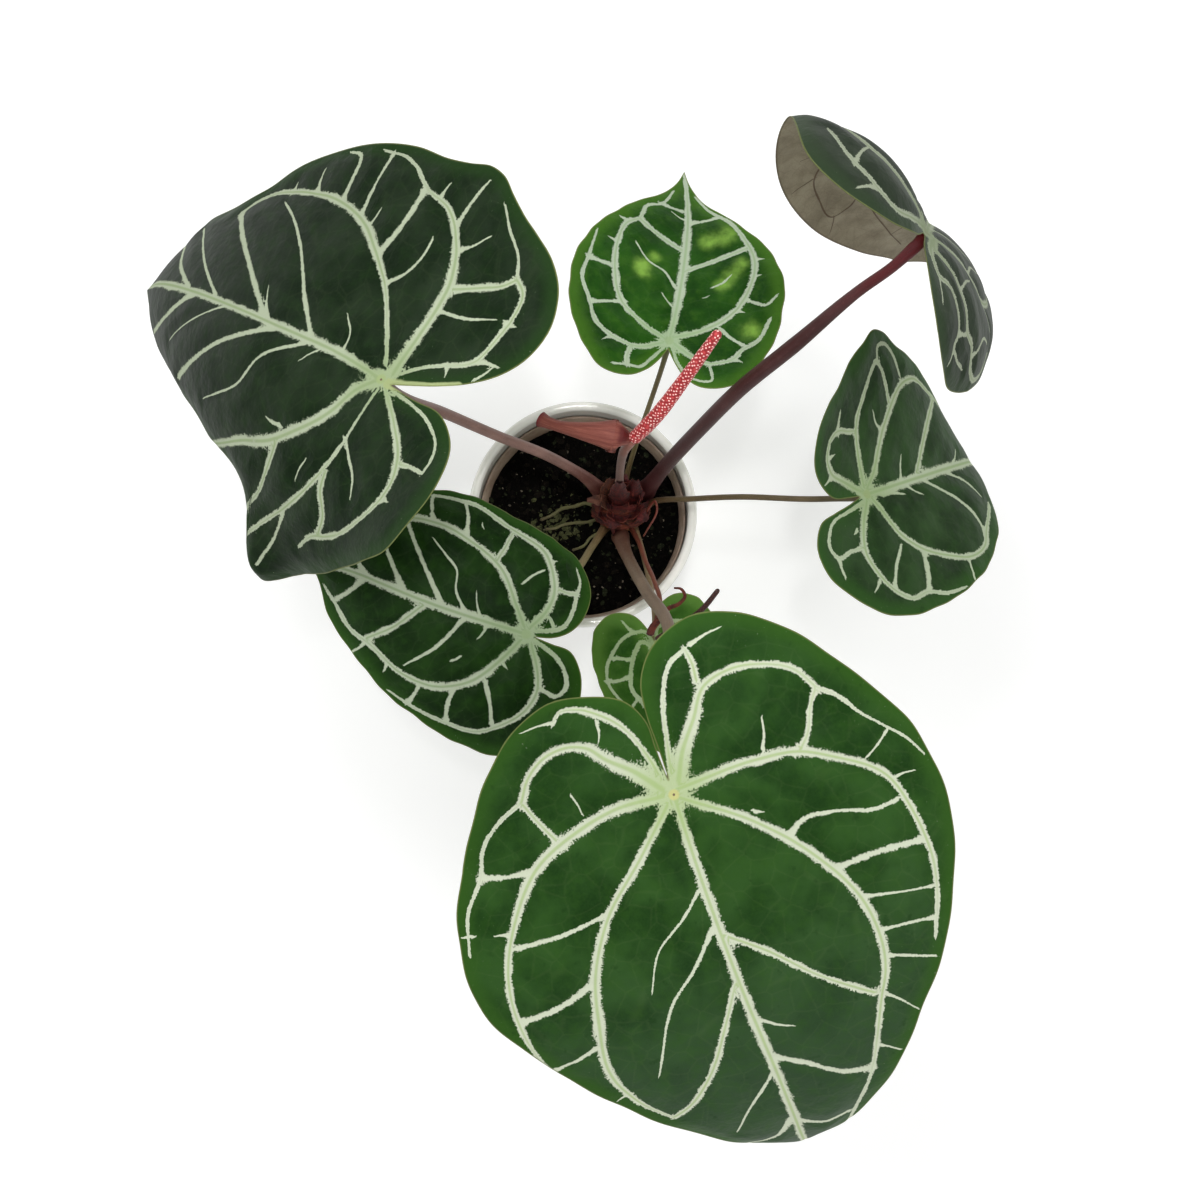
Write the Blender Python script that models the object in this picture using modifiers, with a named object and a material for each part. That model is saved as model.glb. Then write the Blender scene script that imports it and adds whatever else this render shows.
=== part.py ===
"""Potted anthurium: heart-shaped leaves and a flower spike, in a nursery pot inside a cover pot.

Lengths are in millimetres and angles in degrees; meshes are made in metres, +Z up.
The origin is the centre of the cover pot's base, which stands on z = 0.
"""
import bpy
from math import cos, radians, sin, sqrt
from mathutils import Vector

MM = 0.001
TURN_STEPS = 48
RING_POINTS = 2         # bevel resolution of round stalks: eight sides

# Pots and soil
POT_RADIUS = 63.0
POT_HEIGHT = 112.0
POT_BASE_RADIUS = 50.0
POT_WALL = 3.6
NURSERY_RIM_RADIUS = 57.2
NURSERY_HEIGHT = 99.0
NURSERY_BASE_RADIUS = 42.0
NURSERY_WALL = 1.2
SOIL_TOP = 92.0
GAP = 0.3               # air between neighbouring pieces

# Crown of the plant
CROWN = Vector((21.6, 2.3, 0.0))
CROWN_RADIUS = 10.0
CROWN_TOP = 120.0

# Blades
SHEET = 0.9             # thickness of a blade
LOBE_REACH = 0.34       # how far the basal lobes reach behind the joint, of the blade's length


def blade(joint, pose, length, bend, left_fold, right_fold, arch, right_edge, left_edge):
    """One blade: its joint, its pose, how it bends, and its flat outline on both sides.

    pose is heading, pitch and roll; bend is droop, power, lobe, twist and bank.
    A fold is the rise of that side at the lobes, at the joint and at the tip.
    An edge runs from the notch to the tip as points (along the midrib, out from it).
    """
    droop, power, lobe, twist, bank = bend
    return {"joint": Vector(joint), "pose": pose, "length": length, "droop": droop,
            "power": power, "lobe": lobe, "twist": twist, "bank": bank,
            "fold": {1: right_fold, -1: left_fold}, "arch": {1: arch[1], -1: arch[0]},
            "edge": {1: right_edge, -1: left_edge}}


LEAVES = {
    "leaf_front": blade(
        (43, -160, 300), (-70, -10, 4), 243, (80, 2.1, -20, 6, -15),
        (6, 6, -5), (10, 6, -8), (-16, -6),
        [(-7, 0), (-22, 1.4), (-36, 2), (-48, 8), (-58, 21), (-64, 42), (-58, 60), (-42, 76),
         (-8, 97), (28, 114), (66, 116), (104, 98), (142, 73), (190, 40), (224, 14), (243, 0)],
        [(-7, 0), (-22, 1.4), (-38, 2), (-54, 5), (-68, 14), (-74, 34), (-67, 55), (-50, 76),
         (-20, 99), (10, 114), (45, 117), (78, 109), (108, 95), (142, 73), (190, 41), (224, 14),
         (243, 0)]),
    "leaf_left": blade(
        (-92, 32, 300), (146, -27, 9), 236, (46, 1.8, -4, -6, 2),
        (25, -3, -36), (17, 10, -7), (-75, 4),
        [(-6, 0), (-18, 5), (-30, 10), (-46, 17), (-60, 28), (-69, 48), (-65, 68), (-48, 86),
         (-22, 100), (14, 111), (58, 109), (90, 101), (126, 85), (160, 62), (190, 39), (217, 14),
         (236, 0)],
        [(-6, 0), (-22, 0.8), (-40, 1), (-56, 10), (-68, 26), (-73, 46), (-66, 66), (-44, 84),
         (-10, 104), (32, 121), (80, 116), (130, 90), (170, 58), (200, 30), (220, 12), (236, 0)]),
    "leaf_low_left": blade(
        (-27, -78, 215), (163, 10, -9), 133, (62, 2.1, 22, -8, 12),
        (4, 3, -8), (-4, -3, 4), (-28, -52),
        [(-5, 0), (-13, 2), (-21, 7), (-28, 18), (-30, 33), (-22, 47), (0, 56), (28, 62),
         (50, 64), (69, 59), (90, 45), (106, 26), (117, 9), (124, 0)],
        [(-5, 0), (-14, 0.7), (-24, 1.5), (-32, 10), (-36, 24), (-32, 42), (-22, 56), (-4, 66),
         (16, 66), (40, 60), (62, 52), (84, 39), (103, 25), (116, 6), (124, 0)]),
    "leaf_back": blade(
        (45, 75, 200), (84, -22, 3), 118, (16, 1.7, -16, 0, -1),
        (10, 10, 10), (7, 7, 7), (10, 12),
        [(-5, 0), (-14, 4), (-24, 10), (-31, 18), (-31, 34), (-20, 45), (-6, 52), (16, 57),
         (38, 57), (62, 47), (83, 28), (100, 10), (113, 3.5), (126, 0)],
        [(-5, 0), (-13, 4), (-23, 11), (-30, 20), (-30, 34), (-20, 43), (-6, 51), (14, 56),
         (38, 55), (64, 44), (86, 27), (104, 9), (114, 3.5), (126, 0)]),
    "leaf_hanging": blade(
        (162, 102, 300), (63, -65, 7), 166, (41, 2.1, 27, -24, 19),
        (25, 46, -41), (0, -8, -17), (-73, -66),
        [(-5, 0), (-26, 4), (-48, 20), (-55, 44), (-45, 66), (-16, 80), (20, 83), (58, 75),
         (96, 56), (130, 30), (153, 10), (166, 0)],
        [(-5, 0), (-26, 4), (-49, 20), (-58, 44), (-50, 68), (-22, 86), (16, 92), (56, 84),
         (96, 62), (130, 33), (153, 11), (166, 0)]),
    "leaf_right": blade(
        (146, -4, 195), (24, -38, 7), 145, (58, 2.3, -2, -8, 10),
        (20, 9, -13), (8, 6, 1), (16, 8),
        [(-5, 0), (-14, 2), (-27, 4), (-40, 7), (-48, 17), (-47, 33), (-37, 47), (-24, 60),
         (-8, 66), (24, 66), (52, 60), (84, 45), (113, 25), (133, 9), (145, 0)],
        [(-5, 0), (-14, 1), (-25, 3), (-35, 11), (-43, 24), (-42, 42), (-30, 53), (-12, 61),
         (14, 76), (44, 76), (80, 54), (112, 28), (133, 9), (145, 0)]),
    "leaf_small": blade(
        (39.3, -78, 153), (-72, -16, 0), 76, (35, 2, 5, 0, 0),
        (8, 8, 0), (8, 8, 0), (-25, -25),
        [(-3, 0), (-10, 1.5), (-20, 7), (-24, 18), (-19, 28), (-6, 34), (12, 35), (32, 31),
         (50, 21), (64, 9), (75, 0)],
        [(-3, 0), (-10, 1.5), (-20, 7), (-24, 18), (-19, 28), (-6, 34), (12, 35), (32, 31),
         (50, 21), (64, 9), (75, 0)]),
}
BIG_LEAVES = ("leaf_front", "leaf_left", "leaf_hanging")

# Leaf stalks: azimuth and height at the crown, radii at the foot, the middle and the joint,
# and the points the stalk passes on its way
STALKS = {
    "leaf_front": (-94, 111, (4.4, 3.3, 2.6), [(23.5, -26, 140), (34, -53.5, 185), (43, -73, 220)]),
    "leaf_left": (140, 112, (4.2, 2.8, 2.4),
                  [(1.5, 15.9, 135), (-16.8, 22.1, 160), (-41.9, 26.8, 190), (-69.8, 31.3, 232)]),
    "leaf_low_left": (-134, 108, (2.4, 2.0, 1.7), [(6, -20, 127), (0, -33, 148), (-18, -66, 190)]),
    "leaf_back": (86, 113, (2.0, 1.4, 1.3), [(25, 22, 125), (30, 36, 142), (38, 56, 166)]),
    "leaf_hanging": (38, 110, (5.2, 3.9, 2.5),
                     [(37.5, 12.8, 135), (45, 18, 162), (60.8, 30, 195), (79.5, 44, 225),
                      (105, 60.5, 251), (133.7, 80.7, 276)]),
    "leaf_right": (2, 110, (2.0, 1.6, 1.5), [(39.5, 4.5, 124), (58, 3, 140), (83, 1, 158)]),
    "leaf_small": (-52, 103, (1.9, 1.6, 1.4), [(32, -18, 112), (37, -42, 123), (39, -60, 133)]),
}

# Dry scale leaves at the crown: azimuth, reach from its axis, height and width
CATAPHYLLS = {
    "cataphyll_1": (-36, 17, 137, 10),
    "cataphyll_2": (-112, 16, 136, 11),
    "cataphyll_3": (178, 19, 139, 12),
    "cataphyll_4": (84, 15, 138, 8),
    "cataphyll_5": (22, 13, 138, 8),
}


def material(name, color, roughness):
    made = bpy.data.materials.new(name)
    made.use_nodes = True
    shader = made.node_tree.nodes["Principled BSDF"]
    shader.inputs["Base Color"].default_value = (*color, 1.0)
    shader.inputs["Roughness"].default_value = roughness
    return made


def add_mesh(name, vertices, faces, look):
    """A new object from points in millimetres."""
    mesh = bpy.data.meshes.new(name)
    mesh.from_pydata([Vector(v) * MM for v in vertices], [], faces)
    mesh.materials.append(look)
    made = bpy.data.objects.new(name, mesh)
    plant.objects.link(made)
    return made


def add_turned(name, profile, steps, look, center=(0.0, 0.0)):
    """A body turned round Z; its profile of (radius, height) runs from the axis out and down."""
    edges = [(i, i + 1) for i in range(len(profile) - 1)]
    mesh = bpy.data.meshes.new(name)
    mesh.from_pydata([(r * MM, 0.0, z * MM) for r, z in profile], edges, [])
    mesh.materials.append(look)
    made = bpy.data.objects.new(name, mesh)
    made.location = (center[0] * MM, center[1] * MM, 0.0)
    plant.objects.link(made)
    screw = made.modifiers.new("Screw", "SCREW")
    screw.steps = steps
    screw.render_steps = steps
    screw.use_merge_vertices = True
    screw.merge_threshold = 0.00001
    return made


def between(values, place):
    """The value at a place from 0 to 1 along a row of evenly spaced values."""
    reach = place * (len(values) - 1)
    low = min(int(reach), len(values) - 2)
    return values[low] + (values[low + 1] - values[low]) * (reach - low)


def smooth_row(points, count):
    """count + 1 points, evenly spread over a smooth row through the given points."""
    rows = [Vector(p) for p in points]
    gaps = [(b - a).length for a, b in zip(rows, rows[1:])]
    leads = [(b - a) / gap for a, b, gap in zip(rows, rows[1:], gaps)]
    slopes = [leads[0]]
    for before, after, lead, follow in zip(gaps, gaps[1:], leads, leads[1:]):
        slopes.append((lead * after + follow * before) / (before + after))
    slopes.append(leads[-1])
    made = []
    for step in range(count + 1):
        left = sum(gaps) * step / count
        span = 0
        while span < len(gaps) - 1 and left > gaps[span]:
            left -= gaps[span]
            span += 1
        made.append(hermite(rows[span], rows[span + 1], slopes[span] * gaps[span],
                            slopes[span + 1] * gaps[span], min(left / gaps[span], 1.0)))
    return made


def hermite(start, end, leave, arrive, u):
    """A point of the cubic between two points with given slopes, u from 0 to 1."""
    return (start * (2 * u ** 3 - 3 * u ** 2 + 1) + leave * (u ** 3 - 2 * u ** 2 + u)
            + end * (3 * u ** 2 - 2 * u ** 3) + arrive * (u ** 3 - u ** 2))


def add_tube(name, row, radii, look, resolution=RING_POINTS):
    """A round stalk along a row of points; its radii are spread evenly from foot to end."""
    curve = bpy.data.curves.new(name, "CURVE")
    curve.dimensions = "3D"
    curve.bevel_depth = MM
    curve.bevel_resolution = resolution
    curve.use_fill_caps = True
    spline = curve.splines.new("POLY")
    spline.points.add(len(row) - 1)
    for i, point in enumerate(row):
        spline.points[i].co = (*(point * MM), 1.0)
        spline.points[i].radius = between(radii, i / (len(row) - 1))
    curve.materials.append(look)
    made = bpy.data.objects.new(name, curve)
    plant.objects.link(made)
    return made


def clamp(value, low, high):
    return max(low, min(high, value))


def turn(leaf, s):
    """Angle of the midrib at s, against its direction at the joint."""
    droop = leaf["droop"] * clamp(s / leaf["length"], 0.0, 2.0) ** leaf["power"]
    lobe = leaf["lobe"] * clamp(-s / (LOBE_REACH * leaf["length"]), 0.0, 2.0)
    return radians(lobe - droop)


def midrib(leaf, s, steps=24):
    """How far along and above the joint's own direction the midrib is at s."""
    step = s / steps
    angles = [turn(leaf, (i + 0.5) * step) for i in range(steps)]
    return sum(cos(a) for a in angles) * step, sum(sin(a) for a in angles) * step


def blade_axes(leaf):
    """The directions along, across and out of the blade at its joint."""
    heading, pitch, roll = (radians(angle) for angle in leaf["pose"])
    along = Vector((cos(heading) * cos(pitch), sin(heading) * cos(pitch), sin(pitch)))
    across = Vector((sin(heading), -cos(heading), 0.0))
    out = across.cross(along)
    return along, across * cos(roll) - out * sin(roll), out * cos(roll) + across * sin(roll)


def fold(leaf, s, side):
    """Rise of one side of the blade at the midrib."""
    lobe, joint, tip = leaf["fold"][side]
    ahead = clamp(s / leaf["length"], 0.0, 1.2) ** 1.5
    behind = clamp(-s / (LOBE_REACH * leaf["length"]), 0.0, 1.6) ** 1.5
    return radians(joint + (tip - joint) * ahead + (lobe - joint) * behind)


def blade_point(leaf, s, q, side):
    """The point of a blade at s along its midrib and q out from it, on one side."""
    along, across, out = blade_axes(leaf)
    run, rise = midrib(leaf, s)
    lean = turn(leaf, s)
    normal = out * cos(lean) - along * sin(lean)
    roll = radians(leaf["twist"] * clamp(s / leaf["length"], 0.0, 1.5)
                   + leaf["bank"] * clamp(-s / (LOBE_REACH * leaf["length"]), 0.0, 1.5))
    sideways = across * cos(roll) - normal * sin(roll)
    upward = normal * cos(roll) + across * sin(roll)
    start = fold(leaf, s, side)
    curl = radians(leaf["arch"][side]) / (0.5 * leaf["length"])
    reach = (sin(start + curl * q) - sin(start)) / curl
    lift = (cos(start) - cos(start + curl * q)) / curl
    return leaf["joint"] + along * run + out * rise + sideways * (side * reach) + upward * lift


def add_blade(name, leaf, look, edge_count, ring_count):
    """A folded, curved heart: rings round the joint, drawn out to the blade's edge."""
    outline = half_outline(leaf, 1, edge_count) + half_outline(leaf, -1, edge_count)[-2:0:-1]
    size = len(outline)
    vertices = [leaf["joint"]]
    for ring in range(1, ring_count + 1):
        share = ring / ring_count
        share = share * (1.5 - 0.5 * share)
        vertices += [blade_point(leaf, s * share, q * share, side) for s, q, side in outline]
    faces = []
    for i in range(size):
        nearby = (i + 1) % size
        faces.append((0, 1 + nearby, 1 + i))
        for ring in range(ring_count - 1):
            inner = 1 + ring * size
            outer = inner + size
            faces.append((inner + i, inner + nearby, outer + nearby, outer + i))
    made = add_mesh(name, vertices, faces, look)
    solid = made.modifiers.new("Thickness", "SOLIDIFY")
    solid.thickness = SHEET * MM
    solid.offset = 0.0
    return made


def half_outline(leaf, side, count):
    """One side of a blade's flat outline, from the notch to the tip."""
    return [(p.x, max(p.y, 0.0), side) for p in smooth_row(leaf["edge"][side], count)]


def stem_side(azimuth, height, radius, toward):
    """Where a round stalk starts: just clear of the crown, before it heads for a point."""
    out = Vector((cos(radians(azimuth)), sin(radians(azimuth)), 0.0))
    start = CROWN + out * CROWN_RADIUS
    start.z = height
    lean = out.dot((Vector(toward) - start).normalized())
    return start + out * (radius * sqrt(1.0 - lean * lean) + 1.5 * GAP)


def add_stalk(name, leaf, stalk, look):
    """A leaf stalk from the crown to the underside of the blade at its joint."""
    azimuth, height, radii, route = stalk
    normal = blade_axes(leaf)[2]
    end = leaf["joint"] - normal * (SHEET / 2 + 0.4 + 0.2 * radii[2])
    start = stem_side(azimuth, height, radii[0], route[0])
    below = leaf["joint"] - normal * 7
    approach = below.lerp(Vector(route[-1]), 0.35) - normal * 3
    row = smooth_row([start, *route, approach, below], 13) + [below.lerp(end, 0.5), end]
    foot, middle, top = radii
    add_tube(name, row, (foot, middle, middle, middle, middle, 1.1 * top, top), look)


def add_strip(name, route, widths, flats, look, count=10, thickness=0.8):
    """A thin strip along a route; flats are the directions its face looks, foot to tip."""
    row = smooth_row(route, count)
    vertices = []
    for i, point in enumerate(row):
        ahead = row[min(i + 1, count)] - row[max(i - 1, 0)]
        face = between([Vector(f) for f in flats], i / count)
        across = ahead.cross(face).normalized() * (between(widths, i / count) / 2)
        dip = face.normalized() * (across.length * 0.25)
        vertices += [point - across, point - dip, point + across]
    faces = []
    for i in range(count):
        low = 3 * i
        faces += [(low, low + 1, low + 4, low + 3), (low + 1, low + 2, low + 5, low + 4)]
    made = add_mesh(name, vertices, faces, look)
    solid = made.modifiers.new("Thickness", "SOLIDIFY")
    solid.thickness = thickness * MM
    solid.offset = 0.0
    return made


def add_cover_pot(look):
    """A glazed pot with a rounded lip and a flat, whole base."""
    lip = [(POT_RADIUS - 2.6 + 2.6 * cos(a), POT_HEIGHT - 2.6 + 2.6 * sin(a))
           for a in (radians(d) for d in (180, 135, 90, 45, 0))]
    inner_base = POT_BASE_RADIUS - POT_WALL
    profile = [(0, POT_WALL), (inner_base, POT_WALL), (inner_base + 1.5, POT_WALL + 2),
               (POT_RADIUS - 5.5, POT_HEIGHT - 22), (POT_RADIUS - 4.9, POT_HEIGHT - 8), *lip,
               (POT_RADIUS - 1.0, POT_HEIGHT - 12), (POT_BASE_RADIUS + 0.6, 3),
               (POT_BASE_RADIUS - 2, 0), (0, 0)]
    add_turned("cover_pot", profile, TURN_STEPS, look)


def add_nursery_pot(look):
    """A thin plastic pot with a rolled rim, standing on the cover pot's floor."""
    floor = POT_WALL + GAP
    inner = NURSERY_RIM_RADIUS - 2.0
    profile = [(0, floor + NURSERY_WALL), (NURSERY_BASE_RADIUS - NURSERY_WALL, floor + NURSERY_WALL),
               (inner, NURSERY_HEIGHT - 1), (inner + 0.5, NURSERY_HEIGHT),
               (NURSERY_RIM_RADIUS - 0.5, NURSERY_HEIGHT), (NURSERY_RIM_RADIUS, NURSERY_HEIGHT - 1),
               (NURSERY_RIM_RADIUS, NURSERY_HEIGHT - 5), (inner + NURSERY_WALL, NURSERY_HEIGHT - 6),
               (NURSERY_BASE_RADIUS, floor), (0, floor)]
    add_turned("nursery_pot", profile, TURN_STEPS, look)


def add_soil(look):
    """Potting mix filling the nursery pot, level in the middle and lower at the wall."""
    low = POT_WALL + 2 * GAP + NURSERY_WALL
    foot = NURSERY_BASE_RADIUS - NURSERY_WALL - 2 * GAP
    edge = soil_edge(SOIL_TOP - 3)
    profile = [(0, SOIL_TOP), (44, SOIL_TOP), (edge, SOIL_TOP - 3), (foot, low), (0, low)]
    add_turned("soil", profile, TURN_STEPS, look)


def soil_edge(height):
    """Radius at which the soil stops short of the nursery pot's inner wall."""
    low = POT_WALL + GAP + NURSERY_WALL
    foot = NURSERY_BASE_RADIUS - NURSERY_WALL
    slope = (NURSERY_RIM_RADIUS - 2.0 - foot) / (NURSERY_HEIGHT - 1 - low)
    return foot + slope * (height - low) - 2 * GAP


def add_crown(look):
    profile = [(0, CROWN_TOP), (CROWN_RADIUS - 4, CROWN_TOP), (CROWN_RADIUS - 1, CROWN_TOP - 2),
               (CROWN_RADIUS, CROWN_TOP - 6), (CROWN_RADIUS, SOIL_TOP + 2),
               (CROWN_RADIUS + 0.5, SOIL_TOP + GAP), (0, SOIL_TOP + GAP)]
    add_turned("crown_stem", profile, 24, look, (CROWN.x, CROWN.y))


def crown_top(azimuth, reach, height):
    """A point above the crown, at a reach from its axis."""
    angle = radians(azimuth)
    return CROWN + Vector((reach * cos(angle), reach * sin(angle), height))


def add_cataphyll(name, azimuth, reach, height, width, look):
    """A dry scale leaf: it rises from the crown's top, leans out, and its tip drops a little."""
    route = [crown_top(azimuth, 7.0, CROWN_TOP + 0.6), crown_top(azimuth, 8.5, CROWN_TOP + 7),
             crown_top(azimuth, 0.5 * reach + 5, height), crown_top(azimuth, reach, height - 1)]
    outward = crown_top(azimuth, 1.0, 0.0) - CROWN
    upward = Vector((0.0, 0.0, 1.0))
    add_strip(name, route, (0.55 * width, width, 0.9 * width, 0.3 * width),
              (outward, outward + upward, upward), look, thickness=0.8)


def add_flower(stalk_look, bract_look, spike_look):
    """The young inflorescence: a stalk, a bract rolled back into a horn, and a slim spike."""
    stalk = [(19.6, 5.5, CROWN_TOP + GAP), (19.7, 6.2, 160), (19.8, 6.6, 205),
             (20.6, 5.6, 250), (22.4, 3.2, 286)]
    add_tube("peduncle", smooth_row(stalk, 10), (2.8, 2.3, 2.1, 2.1, 2.2), stalk_look)
    add_spathe("spathe", bract_look)
    spike = [(22.9, 3.5, 287.9), (34, 11, 309), (47, 24, 335), (60, 38, 360)]
    add_tube("spadix", smooth_row(spike, 14), (2.6, 3.3, 3.3, 3.1, 2.8, 2.3, 0.7), spike_look)


def add_spathe(name, look):
    """A bract rolled into a tapering trough that opens downward."""
    axis = smooth_row([(21.2, 4.8, 289), (9, 8.5, 290), (-6, 13.5, 286), (-19, 18.5, 277)], 12)
    vertices = []
    for i, center in enumerate(axis):
        ahead = (axis[min(i + 1, 12)] - axis[max(i - 1, 0)]).normalized()
        side = ahead.cross(Vector((0, 0, 1))).normalized()
        top = side.cross(ahead)
        radius = between((3.5, 6.0, 5.2, 4.2, 3.6, 3.1, 2.5, 1.2), i / 12)
        for k in range(9):
            angle = radians(-35 + 250 * k / 8)
            vertices.append(center + (side * cos(angle) + top * sin(angle)) * radius)
    faces = [(9 * i + k, 9 * i + k + 1, 9 * i + k + 10, 9 * i + k + 9)
             for i in range(12) for k in range(8)]
    made = add_mesh(name, vertices, faces, look)
    solid = made.modifiers.new("Thickness", "SOLIDIFY")
    solid.thickness = 0.8 * MM
    solid.offset = 0.0


def add_old_flower(stalk_look, bract_look, spike_look):
    """The spent inflorescence: a bent stalk, a dry curled bract and a dark short spike."""
    start = stem_side(-66, 116, 1.4, (30.5, -19, 131))
    stalk = [start, (30.5, -19, 131), (33.5, -31.5, 150), (38.3, -45.7, 165),
             (40.7, -55.5, 172), (39, -65, 178), (36, -75, 181.5)]
    add_tube("old_peduncle", smooth_row(stalk, 14), (1.8, 1.9, 1.9, 1.7, 1.6, 1.5), stalk_look)
    add_strip("old_spathe", [(34.6, -75.2, 183.6), (35.6, -72.6, 186.3), (39.7, -67.7, 189),
                             (44.2, -62.4, 191), (50.3, -59.5, 192), (52.8, -56.1, 193),
                             (50.8, -52.6, 194), (47.2, -52.2, 195)],
              (3, 4, 3.6, 3, 2.6, 2.2, 1.2), ((0, 0, 1), (-0.3, 0.3, 1), (0, 0, 1)),
              bract_look, count=16, thickness=0.7)
    spike = [(37.9, -77.2, 182.6), (48, -72, 188), (61, -63.5, 195), (69.7, -53.4, 200)]
    add_tube("old_spadix", smooth_row(spike, 12), (1.3, 2.0, 2.1, 1.9, 1.5, 0.6), spike_look)


def add_strand(look):
    start = stem_side(-20, 117, 0.4, (35, -1, 124))
    route = [start, (35, -1, 124), (37.6, 2.2, 130), (39.3, 3.0, 133), (40.4, -1.5, 134),
             (39.0, -6.0, 132.5), (36.2, -10.5, 131), (33.0, -15.6, 128)]
    add_tube("dried_strand", smooth_row(route, 16), (0.8, 0.9, 0.8, 0.7, 0.6, 0.4), look, 1)


def add_root(name, route, radius, look):
    """A root lying on the soil."""
    row = [(x, y, SOIL_TOP + GAP + radius + lift) for x, y, lift in route]
    add_tube(name, smooth_row(row, 10), (radius, radius, 0.8 * radius), look, 1)


def build_plant():
    glaze = material("white_glaze", (0.80, 0.79, 0.77), 0.2)
    plastic = material("taupe_plastic", (0.26, 0.19, 0.14), 0.5)
    mix = material("potting_mix", (0.02, 0.015, 0.01), 0.9)
    green = material("leaf_green", (0.03, 0.09, 0.03), 0.5)
    stalk = material("stalk_taupe", (0.25, 0.15, 0.12), 0.5)
    dry = material("dry_scale", (0.22, 0.07, 0.04), 0.7)
    bract = material("salmon_bract", (0.42, 0.14, 0.10), 0.5)
    spike = material("coral_spike", (0.60, 0.09, 0.09), 0.5)
    root = material("root_tan", (0.25, 0.22, 0.13), 0.7)
    add_cover_pot(glaze)
    add_nursery_pot(plastic)
    add_soil(mix)
    add_crown(dry)
    for name, leaf in LEAVES.items():
        big = name in BIG_LEAVES
        add_blade(name, leaf, green, 21 if big else 16, 6 if big else 5)
        add_stalk(name.replace("leaf", "petiole"), leaf, STALKS[name], stalk)
    for name, (azimuth, reach, height, width) in CATAPHYLLS.items():
        add_cataphyll(name, azimuth, reach, height, width, dry)
    add_flower(stalk, bract, spike)
    add_old_flower(bract, bract, spike)
    add_strand(bract)
    add_root("root_1", [(10.4, 4.5, 0), (-1, 9.2, 0), (-10, 5.5, 0), (-24, -1, 0)], 1.1, root)
    add_root("root_2", [(10.6, 0.6, 0), (4, -1.4, 0), (-9, -3.5, 0), (-21, -6, 0)], 0.9, root)
    add_root("root_3", [(12.2, -3.6, 0), (8, -8, 0), (2, -14, 0), (-6, -18, 0)], 0.9, root)


for old in list(bpy.data.objects):
    bpy.data.objects.remove(old, do_unlink=True)
plant = bpy.data.collections.new("potted_anthurium")
bpy.context.scene.collection.children.link(plant)
build_plant()
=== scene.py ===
from math import cos, pi, radians, sin, sqrt, tau

import bmesh
import bpy
import numpy as np
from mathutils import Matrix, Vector


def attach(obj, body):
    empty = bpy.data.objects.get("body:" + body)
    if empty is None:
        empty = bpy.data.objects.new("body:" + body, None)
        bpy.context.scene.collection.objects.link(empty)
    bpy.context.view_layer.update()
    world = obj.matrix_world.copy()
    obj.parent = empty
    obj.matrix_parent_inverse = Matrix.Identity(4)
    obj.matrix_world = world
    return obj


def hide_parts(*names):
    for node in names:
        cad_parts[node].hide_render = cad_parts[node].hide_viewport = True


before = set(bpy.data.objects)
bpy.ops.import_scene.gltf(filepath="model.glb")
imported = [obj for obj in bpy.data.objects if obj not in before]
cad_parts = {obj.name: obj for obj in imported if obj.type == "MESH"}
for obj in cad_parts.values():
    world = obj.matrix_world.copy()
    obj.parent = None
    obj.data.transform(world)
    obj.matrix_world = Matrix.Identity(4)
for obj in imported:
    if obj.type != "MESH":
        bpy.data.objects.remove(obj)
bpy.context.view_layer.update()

# Sizes shared with the solids, in millimetres
MM = 0.001
POT_RADIUS = 63.0            # cover pot: its lip, height, base and wall
POT_HEIGHT = 112.0
POT_BASE_RADIUS = 50.0
POT_WALL = 3.6
NURSERY_RIM_RADIUS = 57.2    # nursery pot, inside the cover pot
NURSERY_HEIGHT = 99.0
NURSERY_BASE_RADIUS = 42.0
NURSERY_WALL = 1.2
SOIL_TOP = 92.0
SOIL_RADIUS = 54.0
GAP = 0.3                    # air between neighbouring pieces
CROWN = Vector((21.6, 2.3, 0.0))
CROWN_RADIUS = 10.0
CROWN_TOP = 120.0
LOBE_REACH = 0.34            # how far the lobes run back, over the blade's length

# The finer relief of the blades, which the solids don't have, in millimetres. Apart from the
# thickness it is for a blade of FULL_LENGTH, and shorter blades have less of it.
FULL_LENGTH = 240
HALF_EDGE, HALF_MIDDLE = 0.14, 0.3                     # half the thickness at the margin and inside
MAIN_PUCKER, SIDE_PUCKER, PANEL_WAVE = 1.3, 0.5, 0.7   # swelling between veins, waves of the margin
MAIN_GROOVE, SIDE_GROOVE, RIDGE = 0.35, 0.15, 0.5      # veins sunk in above and raised below
BLADE_SINK = 0.9                                       # how much lower the whole sheet lies
EDGE_STEPS = 600                                       # points of an outline, less one
FLAT_SPAN = 400                                        # side of the square that the UV map covers


def mirrored(veins):
    """Veins together with their mirror images across the midrib."""
    return veins + [(halves, [(s, -t) for s, t in row]) for halves, row in veins]


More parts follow.
